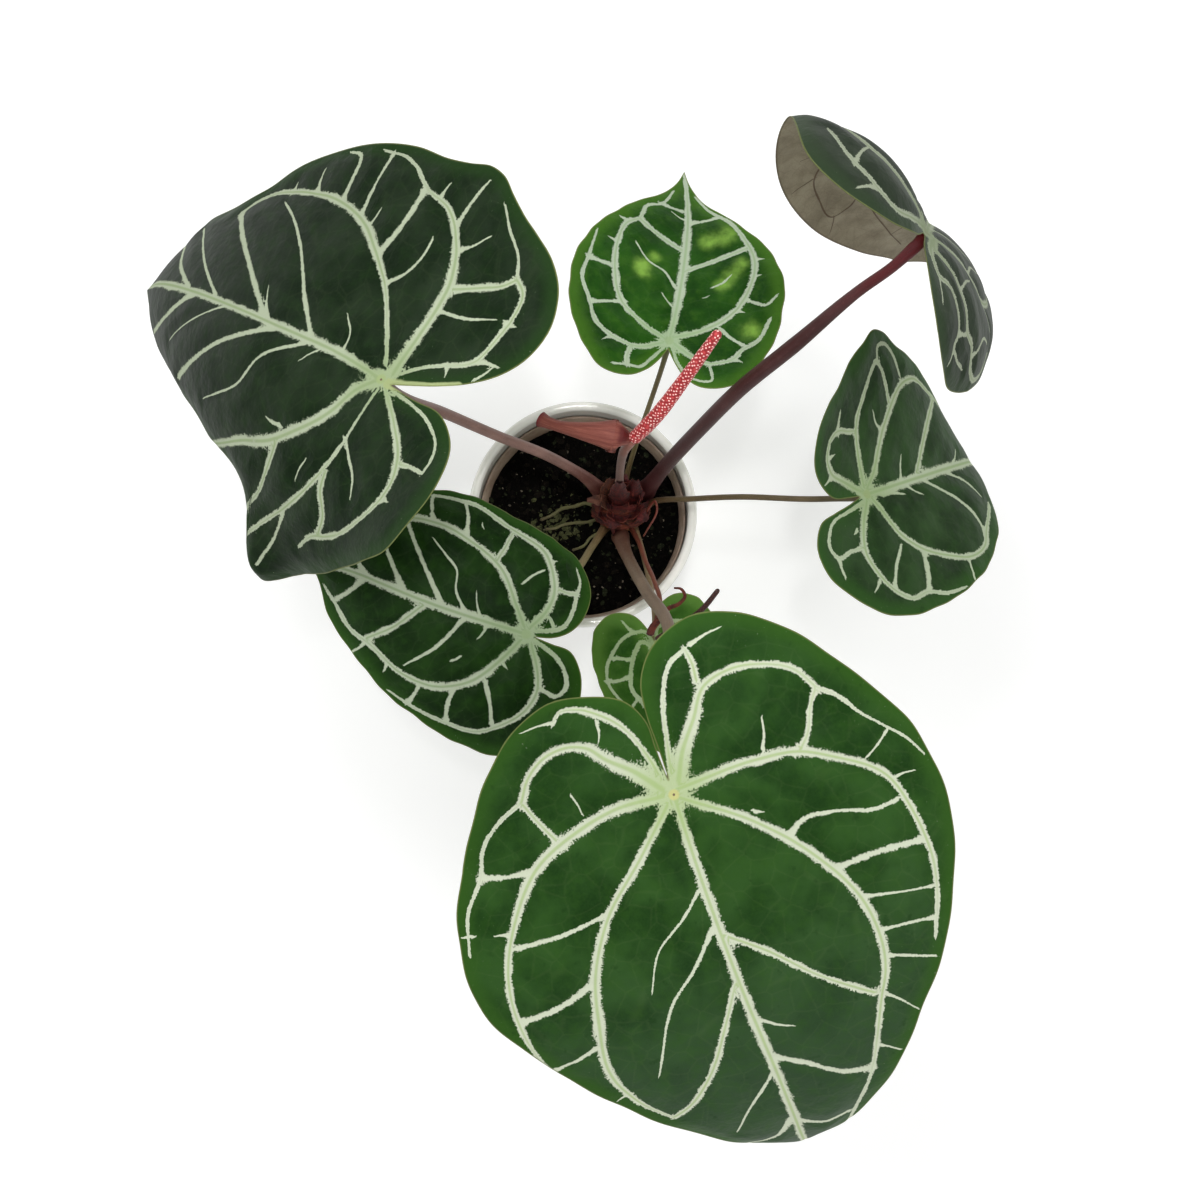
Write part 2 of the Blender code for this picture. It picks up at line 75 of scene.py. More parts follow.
# Leaves: each blade's joint, its pose (heading, pitch, roll), its bend (droop and the power of
# its growth, lobe, twist, bank), the slopes of its left and right half (at the lobe, the joint
# and the tip), the arch of both halves, its flat outlines and its veins. Millimetres and degrees.
# An outline runs from the notch to the tip as (along the midrib, out from it).
# A vein is its half widths along its length and its points (along the midrib, to the right).
# A flare pushes one corner out, a wave ripples the edge, a lip is a pale fold beside the notch
# and glow lists patches of painted light, where the blade looks lit from behind.
LEAVES = {
    "leaf_front": dict(
        joint=(43, -160, 300), pose=(-70, -10, 4), length=243, bend=(80, 2.1, -20, 6, -15),
        left=(6, 6, -5), right=(10, 6, -8), arch=(-16, -6),
        right_edge=[(-7, 0), (-22, 0.3), (-36, 0.5), (-48, 6), (-58, 21), (-64, 42), (-58, 60),
                    (-42, 76), (-8, 97), (28, 114), (66, 116), (104, 98), (142, 73), (190, 40),
                    (224, 14), (243, 0)],
        left_edge=[(-7, 0), (-22, 0.3), (-38, 0.4), (-54, 3), (-68, 14), (-74, 34), (-67, 55),
                   (-50, 76), (-20, 99), (10, 114), (45, 117), (78, 109), (108, 95), (142, 73),
                   (190, 41), (224, 14), (243, 0)],
        main=[
            ((2.2, 2.3, 2.4, 2.2, 1.8), [(0, 0), (30, 1), (90, 1), (150, -1), (240, -1)]),
            ((2.2, 2.2, 2.0, 1.2, 0.9),
             [(2, -2), (23, -30), (47, -51), (75, -65), (104, -66), (130, -56), (161, -45), (193, -31),
              (218, -23)]),
            ((2.4, 2.3, 1.8, 1.7, 0.8),
             [(-2, -3), (-3, -40), (0, -60), (7, -73), (24, -94), (45, -100), (70, -101), (85, -98),
              (104, -91)]),
            ((3.6, 2.8, 2.0, 1.4, 1.4), [(-5, -4), (-17, -10), (-30, -20), (-42, -29), (-45, -43),
                                         (-42, -57), (-34, -71), (-24, -77)]),
            ((1.4, 1.2, 1.5), [(-24, -77), (-16, -71), (-6, -66), (-1, -61)]),
            ((1.2, 0.6, 0.5), [(-24, -77), (-16, -86), (-8, -91), (2, -100), (11, -108), (20, -113)]),
            ((1.6, 1.2, 1.0, 1.0), [(-9, -2), (-23, -5), (-37, -8), (-48, -12), (-58, -19), (-61, -27)]),
            ((1.2, 2.0), [(-61, -27), (-46, -27)]),
            ((1.8, 1.7, 1.4, 1.9), [(69, 0), (82, -16), (100, -33), (120, -56)]),
            ((2.6, 2.8, 2.4, 1.7, 1.5, 0.8),
             [(-1, 4), (-3, 27), (0, 44), (10, 69), (30, 87), (57, 100), (86, 102), (108, 97), (116, 92)]),
            ((2.2, 2.0, 2.1, 2.6, 2.0, 1.0),
             [(3, 4), (22, 24), (43, 47), (68, 62), (90, 68), (118, 72), (141, 65), (158, 53)]),
            ((4.2, 3.4, 2.3, 2.1, 1.9), [(-4, 4), (-16, 13), (-27, 24), (-35, 30), (-39, 37), (-39, 50),
                                         (-33, 59), (-22, 66)]),
            ((1.6, 1.4, 1.6), [(-22, 66), (-8, 61), (1, 57)]),
            ((1.2, 0.9, 0.5), [(-22, 66), (-19, 74), (-7, 89), (6, 95), (18, 105), (38, 112)]),
            ((1.8, 1.3, 1.8, 1.0),
             [(-8, 3), (-20, 5), (-40, 13), (-48, 20), (-55, 29), (-57, 37), (-53, 41)]),
            ((1.4, 1.7, 1.7), [(93, 3), (112, 14), (138, 30), (154, 45), (158, 52)]),
        ],
        side=[
            ((1.0, 0.7, 1.4), [(36, -94), (36, -83), (31, -67), (30, -50), (35, -43)]),
            ((1.4, 1.4, 1.4), [(57, -98), (55, -78), (56, -58)]),
            ((0.6, 0.5, 0.9), [(80, -97), (76, -80), (73, -67)]),
            ((0.8, 0.6, 0.9), [(95, -93), (92, -80), (91, -68)]),
            ((0.5, 0.6, 0.8), [(113, -88), (107, -75), (104, -67)]),
            ((0.4, 0.4, 0.8), [(138, -73), (129, -67), (121, -59)]),
            ((0.4, 0.6), [(158, -59), (150, -50)]), ((0.5, 0.3), [(26, -97), (26, -106)]),
            ((0.8, 0.3), [(115, -3), (122, -16)]),
            ((1.6, 1.1, 1.9), [(137, -3), (145, -16), (158, -31), (163, -42)]),
            ((1.4, 1.1, 1.4), [(188, -3), (195, -13), (196, -26)]),
            ((0.5, 0.4), [(5, -100), (8, -96), (13, -88)]), ((0.8, 0.3), [(-7, -45), (-20, -49)]),
            ((0.9, 0.3), [(-62, -30), (-64, -45)]), ((0.8, 0.4), [(19, -32), (20, -35)]),
            ((0.9, 0.9, 1.2), [(41, 46), (43, 68), (42, 90)]),
            ((1.6, 1.3, 1.4), [(70, 64), (75, 80), (77, 101)]),
            ((1.1, 0.7, 0.8), [(102, 73), (106, 88), (108, 97)]), ((0.7, 0.3), [(35, 92), (33, 98)]),
            ((1.3, 1.0, 1.4), [(6, 94), (9, 84), (11, 70)]), ((0.5, 0.3), [(30, 107), (29, 112)]),
            ((0.7, 0.5, 0.3), [(45, 4), (54, 14), (66, 31), (83, 40)]),
            ((1.1, 0.7, 0.6, 0.4), [(64, 4), (80, 19), (92, 33), (103, 40), (114, 45), (127, 51)]),
            ((0.8, 0.6, 0.4), [(147, 2), (166, 18), (183, 27)]),
            ((1.6, 1.1, 1.5), [(184, 1), (199, 10), (208, 24), (230, 27)]),
            ((0.8, 0.3), [(-45, 22), (-36, 24)]), ((0.6, 0.3), [(-54, 42), (-56, 56)]),
            ((0.4, 0.3), [(-17, 44), (-6, 42)]), ((0.5, 0.3), [(134, 67), (136, 74)]),
        ],
        wave=0.5, tone="front"),
    "leaf_left": dict(
        joint=(-92, 32, 300), pose=(146, -27, 9), length=236, bend=(46, 1.8, -4, -6, 2),
        left=(25, -3, -36), right=(17, 10, -7), arch=(-75, 4),
        flare=(56, 17, 80, 125, (-12, -10, 5)),
        right_edge=[(-6, 0), (-18, 5), (-30, 10), (-44, 17), (-58, 28), (-67, 41), (-70, 54), (-64, 70),
                    (-48, 85), (-32, 93), (-18, 99), (-5, 106), (5, 112), (14, 113.5), (26, 110.5),
                    (38, 108.5), (60, 108), (90, 101), (120, 88), (138, 75), (150, 64), (164, 56),
                    (184, 50), (202, 45), (214, 41), (223, 33), (230, 21), (236, 0)],
        left_edge=[(-6, 0), (-22, 0.8), (-40, 1), (-56, 10), (-68, 26), (-73, 46), (-64, 68),
                   (-44, 79), (-22, 91), (0, 107), (18, 119), (32, 128.5), (44, 133), (53, 133), (57, 127),
                   (59, 117), (61, 106), (66, 95), (73, 87), (82, 81), (96, 77), (118, 73), (130, 68),
                   (144, 63), (160, 59), (180, 55), (202, 50), (216, 43), (228, 33), (234, 19), (236, 0)],
        main=[
            ((2.2, 2.6, 2.0, 2.1, 2.2, 1.6), [(0, 0), (30, 1), (70, -1), (110, -2), (150, -2), (230, 1)]),
            ((1.1, 1.3, 2.4, 2.2, 1.5, 1.0),
             [(2, 7), (12, 20), (31, 41), (43, 50), (64, 63), (85, 68), (112, 67), (142, 60), (160, 47)]),
            ((2.9, 2.9, 2.8, 1.9, 1.4, 0.9, 0.6),
             [(-4, 5), (-4, 40), (-3, 53), (6, 71), (22, 86), (41, 91), (53, 98), (63, 101), (78, 100)]),
            ((0.8, 1.0, 1.5, 1.6, 1.8),
             [(-8, 7), (-15, 13), (-27, 20), (-39, 26), (-45, 44), (-43, 66), (-36, 70)]),
            ((1.6, 1.9, 2.0), [(-36, 70), (-31, 65), (-21, 60), (-6, 53)]),
            ((1.0, 0.7, 0.4), [(-36, 70), (-31, 78), (-14, 91), (-4, 100)]),
            ((2.8, 2.9, 2.8, 2.1, 2.0),
             [(2, -2), (8, -10), (14, -24), (34, -44), (46, -52), (71, -61), (95, -70), (120, -78)]),
            ((2.0, 1.4, 1.1), [(41, -48), (43, -60), (54, -84), (64, -94), (80, -108)]),
            ((0.7, 0.7, 1.5, 1.6, 1.3, 1.3),
             [(-2, -4), (-2, -24), (3, -47), (10, -60), (29, -82), (44, -94), (66, -110)]),
            ((1.2, 1.6, 2.3, 1.4, 1.3, 1.6, 0.8),
             [(-5, -3), (-22, -15), (-39, -32), (-42, -40), (-40, -49), (-26, -67), (-4, -82), (3, -85),
              (16, -98)]),
            ((1.8, 1.9), [(0, -83), (-2, -72), (3, -60), (3, -52)]),
            ((1.0, 0.9, 0.6, 0.7), [(-10, -2), (-21, -3), (-42, -9), (-51, -15), (-57, -25), (-58, -31)]),
            ((0.8, 1.4), [(-57, -31), (-41, -31)]),
        ],
        side=[
            ((0.9, 0.7, 0.3), [(-6, 41), (-22, 43), (-38, 49)]),
            ((1.4, 0.6, 0.4), [(5, 70), (-3, 76), (-8, 83)]),
            ((1.3, 0.8, 0.5), [(13, 80), (12, 93), (10, 106)]), ((0.8, 0.4), [(30, 90), (29, 97)]),
            ((1.7, 1.3, 1.5), [(44, 52), (40, 71), (41, 89)]),
            ((0.9, 0.7, 0.5), [(30, 41), (22, 50), (19, 62), (20, 70)]), ((0.8, 0.3), [(60, 62), (58, 72)]),
            ((1.2, 0.7, 0.7), [(68, 65), (70, 82), (72, 100)]),
            ((1.4, 0.9, 0.8), [(85, 69), (92, 94), (100, 94)]),
            ((1.1, 0.4), [(106, 69), (110, 81)]), ((0.6, 0.3), [(125, 64), (125, 70)]),
            ((1.3, 0.8, 0.6), [(51, 2), (71, 20), (92, 40), (114, 54), (124, 58)]),
            ((1.5, 1.2, 1.6), [(85, 0), (100, 10), (137, 33), (157, 46)]),
            ((0.8, 0.3), [(82, 0), (94, 14)]),
            ((0.9, 0.7, 0.7), [(128, 0), (150, 11), (195, 37)]),
            ((1.3, 1.1, 1.2), [(158, 0), (184, 11), (204, 23), (220, 31)]),
            ((0.6, 0.3), [(29, 4), (30, 11), (38, 19)]), ((1.0, 0.5), [(-42, 28), (-54, 30)]),
            ((0.7, 0.4), [(-46, 20), (-52, 30)]), ((0.8, 0.4), [(-28, 20), (-30, 16)]),
            ((1.0, 0.4), [(-44, 50), (-50, 50)]),
            ((1.5, 0.4), [(-41, -49), (-47, -49)]),
            ((0.9, 0.8, 0.4), [(-1, -33), (-8, -39), (-17, -47), (-20, -55)]),
            ((1.1, 0.8, 0.8), [(29, -84), (36, -100), (48, -118)]), ((0.5, 0.3), [(17, -51), (21, -63)]),
            ((0.9, 0.7, 0.4), [(52, -3), (74, -20), (81, -34), (100, -45), (115, -51)]),
            ((1.4, 1.1, 1.6), [(75, -3), (105, -19), (140, -39), (157, -47)]),
            ((0.5, 0.4, 0.3), [(116, -3), (150, -20), (170, -29)]),
            ((1.5, 1.2, 1.2), [(150, -3), (178, -17), (195, -22), (217, -25)]),
            ((1.2, 0.5), [(42, -43), (52, -43)]), ((0.5, 0.3), [(42, -3), (47, -11)]),
        ],
        lip=[(-5, 0), (-16, 3.4), (-28, 8), (-40, 13.4)],
        tone="dusk"),
    "leaf_low_left": dict(
        joint=(-27, -78, 215), pose=(163, 10, -9), length=133, bend=(62, 2.1, 22, -8, 12),
        left=(4, 3, -8), right=(-4, -3, 4), arch=(-28, -52),
        right_edge=[(-5, 0), (-13, 2), (-21, 7), (-28, 18), (-30, 33), (-22, 47), (0, 56),
                    (28, 62), (50, 64), (69, 59), (90, 45), (106, 26), (117, 9), (124, 0)],
        left_edge=[(-5, 0), (-14, 0.7), (-24, 1.5), (-32, 10), (-36, 24), (-32, 42), (-22, 56),
                   (-4, 66), (16, 66), (40, 60), (62, 52), (84, 39), (103, 25), (116, 6), (124, 0)],
        main=[
            ((2.3, 2.4, 2.1, 1.5), [(0, 0), (52, 0), (70, 1), (88, 2), (120, 1)]),
            ((2.0, 2.0, 2.0, 1.6),
             [(2, 3), (9, 12), (22, 28), (39, 36), (58, 40), (74, 38), (92, 27), (112, 8)]),
            ((2.1, 2.4, 2.3, 1.5, 1.3, 0.8),
             [(-1, 4), (-6, 13), (-8, 24), (-5, 34), (4, 46), (16, 50), (27, 53), (42, 58), (59, 57),
              (69, 55)]),
            ((1.5, 1.4), [(25, 31), (23, 39), (21, 49)]),
            ((1.1, 1.2, 1.1, 0.6),
             [(-4, 3), (-10, 5), (-17, 9), (-20, 16), (-21, 28), (-22, 35), (-19, 42)]),
            ((1.2, 1.5), [(-21, 28), (-10, 27)]), ((0.9, 0.9), [(-12, 8), (-8, 12)]),
            ((2.0, 2.4, 2.0, 1.4, 1.3, 0.9),
             [(2, -4), (8, -16), (21, -33), (36, -40), (55, -39), (73, -31), (88, -26), (99, -17),
              (109, -10)]),
            ((1.6, 1.9, 1.5, 1.2, 1.0, 0.5),
             [(-4, -4), (-11, -16), (-14, -26), (-12, -36), (-4, -47), (8, -56), (23, -57), (42, -55),
              (58, -51)]),
            ((1.1, 1.1, 1.0, 1.0), [(-5, -2), (-17, -6), (-24, -12), (-27, -20), (-24, -25), (-15, -24)]),
            ((1.6, 1.7, 1.7), [(53, -2), (65, -18), (77, -28)]),
        ],
        side=[
            ((0.5, 0.5), [(1, 34), (9, 24)]), ((0.5, 0.3), [(25, 2), (30, 12)]),
            ((0.8, 0.4, 0.6, 0.3), [(33, 2), (40, 10), (43, 20), (50, 25), (59, 31)]),
            ((1.2, 0.9, 0.9), [(45, 2), (59, 17), (75, 35)]),
            ((1.4, 0.9, 0.7), [(65, 2), (80, 19), (88, 28)]),
            ((1.2, 0.8), [(87, 4), (98, 16)]), ((1.1, 0.7), [(44, 39), (50, 57)]),
            ((1.0, 0.7), [(63, 41), (69, 54)]), ((0.8, 0.3), [(-1, 40), (-5, 42)]),
            ((0.4, 0.3), [(37, 46), (38, 48)]),
            ((0.8, 1.1), [(2, -49), (6, -39), (12, -29)]), ((1.0, 1.1), [(24, -56), (26, -39)]),
            ((0.9, 0.8), [(46, -53), (43, -42)]), ((0.5, 0.5), [(63, -37), (63, -41)]),
            ((0.5, 0.8), [(84, -38), (77, -30)]), ((1.3, 1.1), [(87, -1), (99, -14)]),
            ((1.1, 0.9, 0.4), [(32, -2), (40, -19), (53, -34)]), ((0.8, 0.3), [(20, -2), (22, -9)]),
            ((0.6, 0.5), [(31, -24), (28, -21)]), ((0.6, 0.3), [(6, -18), (4, -19)]),
        ],
        wave=0.5, tone="deep"),
    "leaf_back": dict(
        joint=(45, 75, 200), pose=(84, -22, 3), length=118, bend=(16, 1.7, -16, 0, -1),
        left=(10, 10, 10), right=(7, 7, 7), arch=(10, 12),
        right_edge=[(-5, 0), (-14, 4), (-24, 10), (-31, 18), (-31, 34), (-20, 45), (-6, 52),
                    (16, 57), (38, 57), (62, 47), (83, 28), (100, 10), (113, 3.5), (126, 0)],
        left_edge=[(-5, 0), (-13, 4), (-23, 11), (-30, 20), (-30, 34), (-20, 43), (-6, 51),
                   (14, 56), (38, 55), (64, 44), (86, 27), (104, 9), (114, 3.5), (126, 0)],
        main=[
            ((1.8, 2.4, 2.4, 1.5, 0.9), [(0, 0), (18, 2), (52, 4), (80, 4), (107, 2), (123, 0)]),
            ((1.8, 1.9, 1.7, 1.6, 1.0, 0.7),
             [(2, 2), (8, 18), (18, 31), (34, 39), (52, 41), (68, 35), (82, 26), (91, 15), (103, 7)]),
            ((2.0, 1.7, 1.5, 1.3, 0.8),
             [(-2, 3), (-10, 13), (-14, 20), (-14, 27), (-11, 34), (-5, 38), (0, 45), (14, 51)]),
            ((0.8, 0.7, 0.7, 0.7), [(-4, 2), (-13, 5), (-21, 10), (-26, 16), (-27, 23), (-16, 22)]),
            ((1.6, 1.7, 1.9, 1.5, 1.5, 0.9, 0.6),
             [(1, -3), (6, -14), (18, -28), (37, -33), (55, -33), (71, -28), (75, -23), (87, -19),
              (92, -11),
              (106, -5)]),
            ((1.6, 1.5, 1.3, 1.0, 0.9, 0.5),
             [(-2, -3), (-9, -18), (-7, -29), (0, -40), (10, -44), (25, -50), (38, -48), (57, -45)]),
            ((0.8, 0.8, 0.7), [(-4, -2), (-15, -9), (-22, -14), (-23, -21), (-25, -28)]),
            ((1.2, 1.3), [(-23, -21), (-10, -20)]),
            ((1.6, 1.6), [(75, -22), (68, -12), (61, 2)]), ((1.4, 1.5), [(46, 5), (54, 21), (62, 36)]),
        ],
        side=[
            ((0.7, 0.9), [(-2, 38), (2, 32), (8, 26)]), ((1.0, 0.8, 0.6), [(27, 38), (23, 49), (29, 54)]),
            ((1.1, 0.8), [(81, 6), (83, 15), (86, 20)]), ((0.5, 0.6, 0.3), [(35, 20), (38, 25), (43, 29)]),
            ((0.7, 0.3), [(43, 41), (43, 44)]), ((0.8, 0.3), [(54, 41), (54, 45)]),
            ((0.7, 0.3), [(20, 34), (19, 37)]),
            ((0.9, 0.3), [(-12, 34), (-14, 38)]), ((0.4, 0.3), [(28, 16), (29, 18)]),
            ((0.9, 0.8), [(11, -43), (14, -34), (17, -26)]), ((1.1, 1.1), [(38, -47), (38, -33)]),
            ((0.8, 0.5, 0.4), [(35, 0), (43, -6), (47, -15), (57, -23)]),
            ((0.9, 0.8), [(92, -11), (90, 0)]),
            ((0.5, 0.3), [(22, 0), (28, -6)]), ((0.7, 0.3), [(-7, -30), (-11, -35)]),
            ((0.6, 0.3), [(55, -34), (55, -38)]), ((0.8, 0.4), [(71, -29), (72, -33)]),
            ((0.5, 0.3), [(83, 4), (87, -5)]),
        ],
        glow=[(39, -18, 6), (51, -12, 4), (45, -19, 4), (36, 25, 5), (43, 29, 5), (51, 34, 5), (72, 25, 7),
              (66, 16, 6), (7, 42, 7)],
        wave=0.4, tone="fresh"),
    "leaf_hanging": dict(
        joint=(162, 102, 300), pose=(63, -65, 7), length=166, bend=(41, 2.1, 27, -24, 19),
        left=(25, 46, -41), right=(0, -8, -17), arch=(-73, -66),
        right_edge=[(-5, 0), (-26, 4), (-48, 20), (-55, 44), (-45, 66), (-16, 80), (20, 83), (58, 75),
                    (96, 56), (130, 30), (153, 10), (166, 0)],
        left_edge=[(-5, 0), (-26, 4), (-49, 20), (-58, 44), (-50, 68), (-22, 86), (16, 92),
                   (56, 84), (96, 62), (130, 33), (153, 11), (166, 0)],
        main=[
            ((3.0, 2.6, 1.0), [(0, 0), (90, 0), (160, 0)]),
            ((1.8, 1.4, 0.7), [(1, -3), (30, -25), (60, -34), (83, -32), (117, -18), (138, -8)]),
            ((1.6, 1.1, 0.8), [(0, -4), (10, -35), (40, -58), (65, -64), (79, -59), (95, -49), (90, -42),
                               (76, -39)]),
            ((2.4, 2.2, 1.0), [(-2, -4), (-14, -20), (-17, -40), (-14, -58), (5, -72), (30, -74)]),
            ((2.2, 1.5, 0.9), [(-4, -3), (-27, -12), (-40, -22), (-41, -41), (-37, -55), (-25, -69)]),
            ((2.4, 1.8, 0.8),
             [(1, 4), (12, 11), (25, 23), (29, 31), (35, 43), (60, 50), (95, 42), (130, 20)]),
            ((2.4, 1.8, 0.8),
             [(0, 5), (-14, 9), (-11, 20), (-11, 38), (-14, 51), (-8, 59), (-7, 70), (-1, 76),
                               (16, 79), (40, 72)]),
            ((2.0, 1.5, 0.8), [(-3, 4), (-24, 9), (-30, 16), (-24, 26), (-25, 38), (-28, 46), (-37, 51),
                               (-33, 58), (-22, 66)]),
        ],
        side=[
            ((1.0, 1.0), [(-28, 47), (-14, 51)]), ((0.8, 0.5), [(-10, 31), (16, 32)]),
            ((0.9, 0.6), [(-6, 64), (20, 61), (34, 66)]), ((0.9, 0.6), [(28, 30), (44, 29), (60, 34)]),
            ((1.0, 0.7), [(30, 2), (70, 32), (90, 42)]), ((0.9, 0.6), [(70, 2), (112, 30)]),
            ((0.8, 0.5), [(100, 2), (130, 18)]), ((0.8, 0.5), [(-36, 50), (-46, 56)]),
            ((0.8, 0.5), [(-30, 17), (-42, 26)]), ((0.8, 0.5), [(36, 44), (46, 62)]),
            ((1.0, 0.7), [(-42, -35), (-52, -42)]), ((0.9, 0.7), [(-40, -50), (-20, -50)]),
            ((1.0, 0.6), [(30, -2), (60, -34)]), ((0.9, 0.6), [(60, -2), (96, -28)]),
            ((0.8, 0.6), [(95, -2), (122, -16)]), ((0.8, 0.5), [(40, -58), (48, -74)]),
            ((0.8, 0.5), [(62, -64), (70, -74)]), ((0.8, 0.5), [(10, -36), (-4, -62)]),
            ((0.8, 0.5), [(95, -49), (106, -50)]), ((0.8, 0.5), [(30, -26), (46, -56)]),
        ],
        tone="ash"),
    "leaf_right": dict(
        joint=(146, -4, 195), pose=(24, -38, 7), length=145, bend=(58, 2.3, -2, -8, 10),
        left=(20, 9, -13), right=(8, 6, 1), arch=(16, 8),
        right_edge=[(-5, 0), (-14, 2), (-27, 4), (-40, 7), (-48, 17), (-47, 33), (-37, 47),
                    (-24, 60), (-8, 66), (24, 66), (52, 60), (84, 45), (113, 25), (133, 9), (145, 0)],
        left_edge=[(-5, 0), (-14, 1), (-25, 3), (-35, 11), (-43, 24), (-42, 42), (-30, 52),
                   (-12, 61), (10, 75), (22, 81), (33, 79), (44, 72), (56, 66), (80, 54), (112, 28),
                   (133, 9), (145, 0)],
        main=[
            ((2.4, 2.7, 2.4, 1.4), [(0, 0), (40, 0), (80, 0), (142, 0)]),
            ((2.1, 2.3, 2.0, 1.7, 1.4, 1.2),
             [(1, -3), (8, -9), (17, -22), (30, -37), (46, -49), (62, -51), (83, -42), (104, -33),
              (128, -10)]),
            ((1.9, 2.0, 1.6, 1.2, 1.2, 1.5),
             [(-1, -4), (-1, -20), (1, -36), (11, -51), (19, -61), (23, -65), (28, -61), (31, -52),
              (32, -43)]),
            ((1.0, 1.0, 0.8), [(25, -66), (26, -72), (35, -72), (43, -64), (47, -54)]),
            ((2.1, 2.0, 1.5, 1.4), [(-3, -2), (-15, -9), (-27, -17), (-30, -25), (-28, -32), (-18, -36),
                                    (-7, -34), (0, -33)]),
            ((1.9, 2.0, 1.9, 1.5, 1.3),
             [(2, 3), (5, 10), (10, 25), (20, 36), (35, 44), (53, 49), (70, 45), (77, 39), (100, 26)]),
            ((1.9, 2.3, 1.7, 1.3, 1.2, 0.6),
             [(-2, 3), (-12, 15), (-18, 29), (-16, 40), (-11, 51), (-4, 58), (9, 58), (19, 62), (35, 63)]),
            ((1.0, 0.8, 1.0, 1.2),
             [(-5, 3), (-15, 5), (-34, 10), (-40, 20), (-37, 26), (-28, 25), (-19, 25)]),
            ((1.9, 2.0, 1.8), [(43, -3), (60, -20), (76, -32), (88, -38)]),
        ],
        side=[
            ((0.9, 0.6, 0.4), [(21, -30), (17, -34), (16, -40)]), ((0.7, 0.4), [(29, -3), (33, -14)]),
            ((0.7, 0.4), [(82, -2), (92, -8)]), ((1.3, 0.9), [(-18, -36), (-16, -45)]),
            ((1.0, 0.5), [(-27, -14), (-32, -12)]), ((0.9, 0.4), [(-28, -24), (-24, -25)]),
            ((0.9, 0.8), [(-10, 49), (-3, 39), (6, 31)]), ((1.2, 1.6), [(10, 57), (15, 47), (19, 39)]),
            ((0.6, 0.6), [(49, 49), (44, 61)]), ((0.8, 0.3), [(-18, 44), (-24, 48)]),
            ((0.9, 0.5), [(-37, 27), (-38, 36)]), ((1.4, 0.4), [(10, 2), (26, 6)]),
            ((0.7, 0.4), [(32, 3), (39, 9)]),
            ((0.8, 0.9, 1.3), [(46, 2), (56, 10), (66, 18), (73, 27), (75, 36), (73, 43)]),
            ((1.0, 0.7), [(70, 2), (86, 12), (93, 20)]), ((0.8, 0.4), [(-18, 16), (-20, 17)]),
        ],
        wave=0.4, tone="slate"),
    "leaf_small": dict(
        joint=(39.3, -78, 153), pose=(-72, -16, 0), length=76, bend=(35, 2, 5, 0, 0),
        left=(8, 8, 0), right=(8, 8, 0), arch=(-25, -25),
        right_edge=[(-3, 0), (-10, 1.5), (-20, 7), (-24, 18), (-19, 28), (-6, 34), (12, 35),
                    (32, 31), (50, 21), (64, 9), (75, 0)],
        left_edge=[(-3, 0), (-10, 1.5), (-20, 7), (-24, 18), (-19, 28), (-6, 34), (12, 35),
                   (32, 31), (50, 21), (64, 9), (75, 0)],
        main=[((1.4, 1.2, 0.6), [(0, 0), (40, 0), (74, 0)])] + mirrored([
            ((1.2, 1.1, 0.8), [(0, 1), (-5, 7), (1, 13), (9, 17), (18, 19), (26, 16), (50, 7)]),
            ((1.0, 0.9, 0.6), [(-2, 1), (-9, 3), (-11, 9), (-9, 17), (-4, 23), (2, 28), (9, 30), (26, 25)]),
        ]),
        side=mirrored([
            ((0.8, 0.8), [(2, 16), (-1, 23)]), ((0.8, 0.7), [(11, 19), (10, 30)]),
            ((0.7, 0.7), [(20, 1), (28, 15)]),
            ((0.6, 0.5), [(-11, 9), (-18, 13)]), ((0.6, 0.5), [(24, 18), (30, 24)]),
            ((0.6, 0.4), [(36, 1), (46, 9)]),
        ]),
        wave=0.3, tone="young"),
}

# Leaf stalks: azimuth and height at the crown, radii at the foot, the middle and the joint,
# and the points the stalk passes on its way
STALKS = {
    "leaf_front": (-94, 111, (4.4, 3.3, 2.6), [(23.5, -26, 140), (34, -53.5, 185), (43, -73, 220)]),
    "leaf_left": (140, 112, (4.2, 2.8, 2.4),
                  [(1.5, 15.9, 135), (-16.8, 22.1, 160), (-41.9, 26.8, 190), (-69.8, 31.3, 232)]),
    "leaf_low_left": (-134, 108, (2.4, 2.0, 1.7), [(6, -20, 127), (0, -33, 148), (-18, -66, 190)]),
    "leaf_back": (86, 113, (2.0, 1.4, 1.3), [(25, 22, 125), (30, 36, 142), (38, 56, 166)]),
    "leaf_hanging": (38, 110, (5.2, 3.9, 2.5),
                     [(37.5, 12.8, 135), (45, 18, 162), (60.8, 30, 195), (79.5, 44, 225),
                      (105, 60.5, 251), (133.7, 80.7, 276)]),
    "leaf_right": (2, 110, (2.0, 1.6, 1.5), [(39.5, 4.5, 124), (58, 3, 140), (83, 1, 158)]),
    "leaf_small": (-52, 103, (1.9, 1.6, 1.4), [(32, -18, 112), (37, -42, 123), (39, -60, 133)]),
}

# Dry scale leaves: azimuth, reach from the crown's middle, height of the bend and width
CATAPHYLLS = {
    "cataphyll_1": (-36, 17, 137, 10),
    "cataphyll_2": (-112, 16, 136, 11),
    "cataphyll_3": (178, 19, 139, 7.2),
    "cataphyll_4": (84, 15, 138, 8),
    "cataphyll_5": (22, 13, 138, 8),
}

# The leaf stalks' colours at the foot, the middle and the top
SKINS = {
    "leaf_front": ((96, 56, 46), (112, 94, 76), (118, 102, 78)),
    "leaf_left": ((108, 60, 54), (126, 96, 87), (100, 76, 58)),
    "leaf_low_left": ((110, 84, 56), (136, 122, 88), (122, 116, 74)),
    "leaf_back": ((86, 62, 40), (98, 88, 56), (98, 102, 54)),
    "leaf_hanging": ((66, 18, 22), (60, 25, 24), (112, 20, 30)),
    "leaf_right": ((86, 62, 42), (92, 78, 52), (84, 76, 48)),
    "leaf_small": ((110, 84, 60), (140, 122, 92), (130, 130, 84)),
}

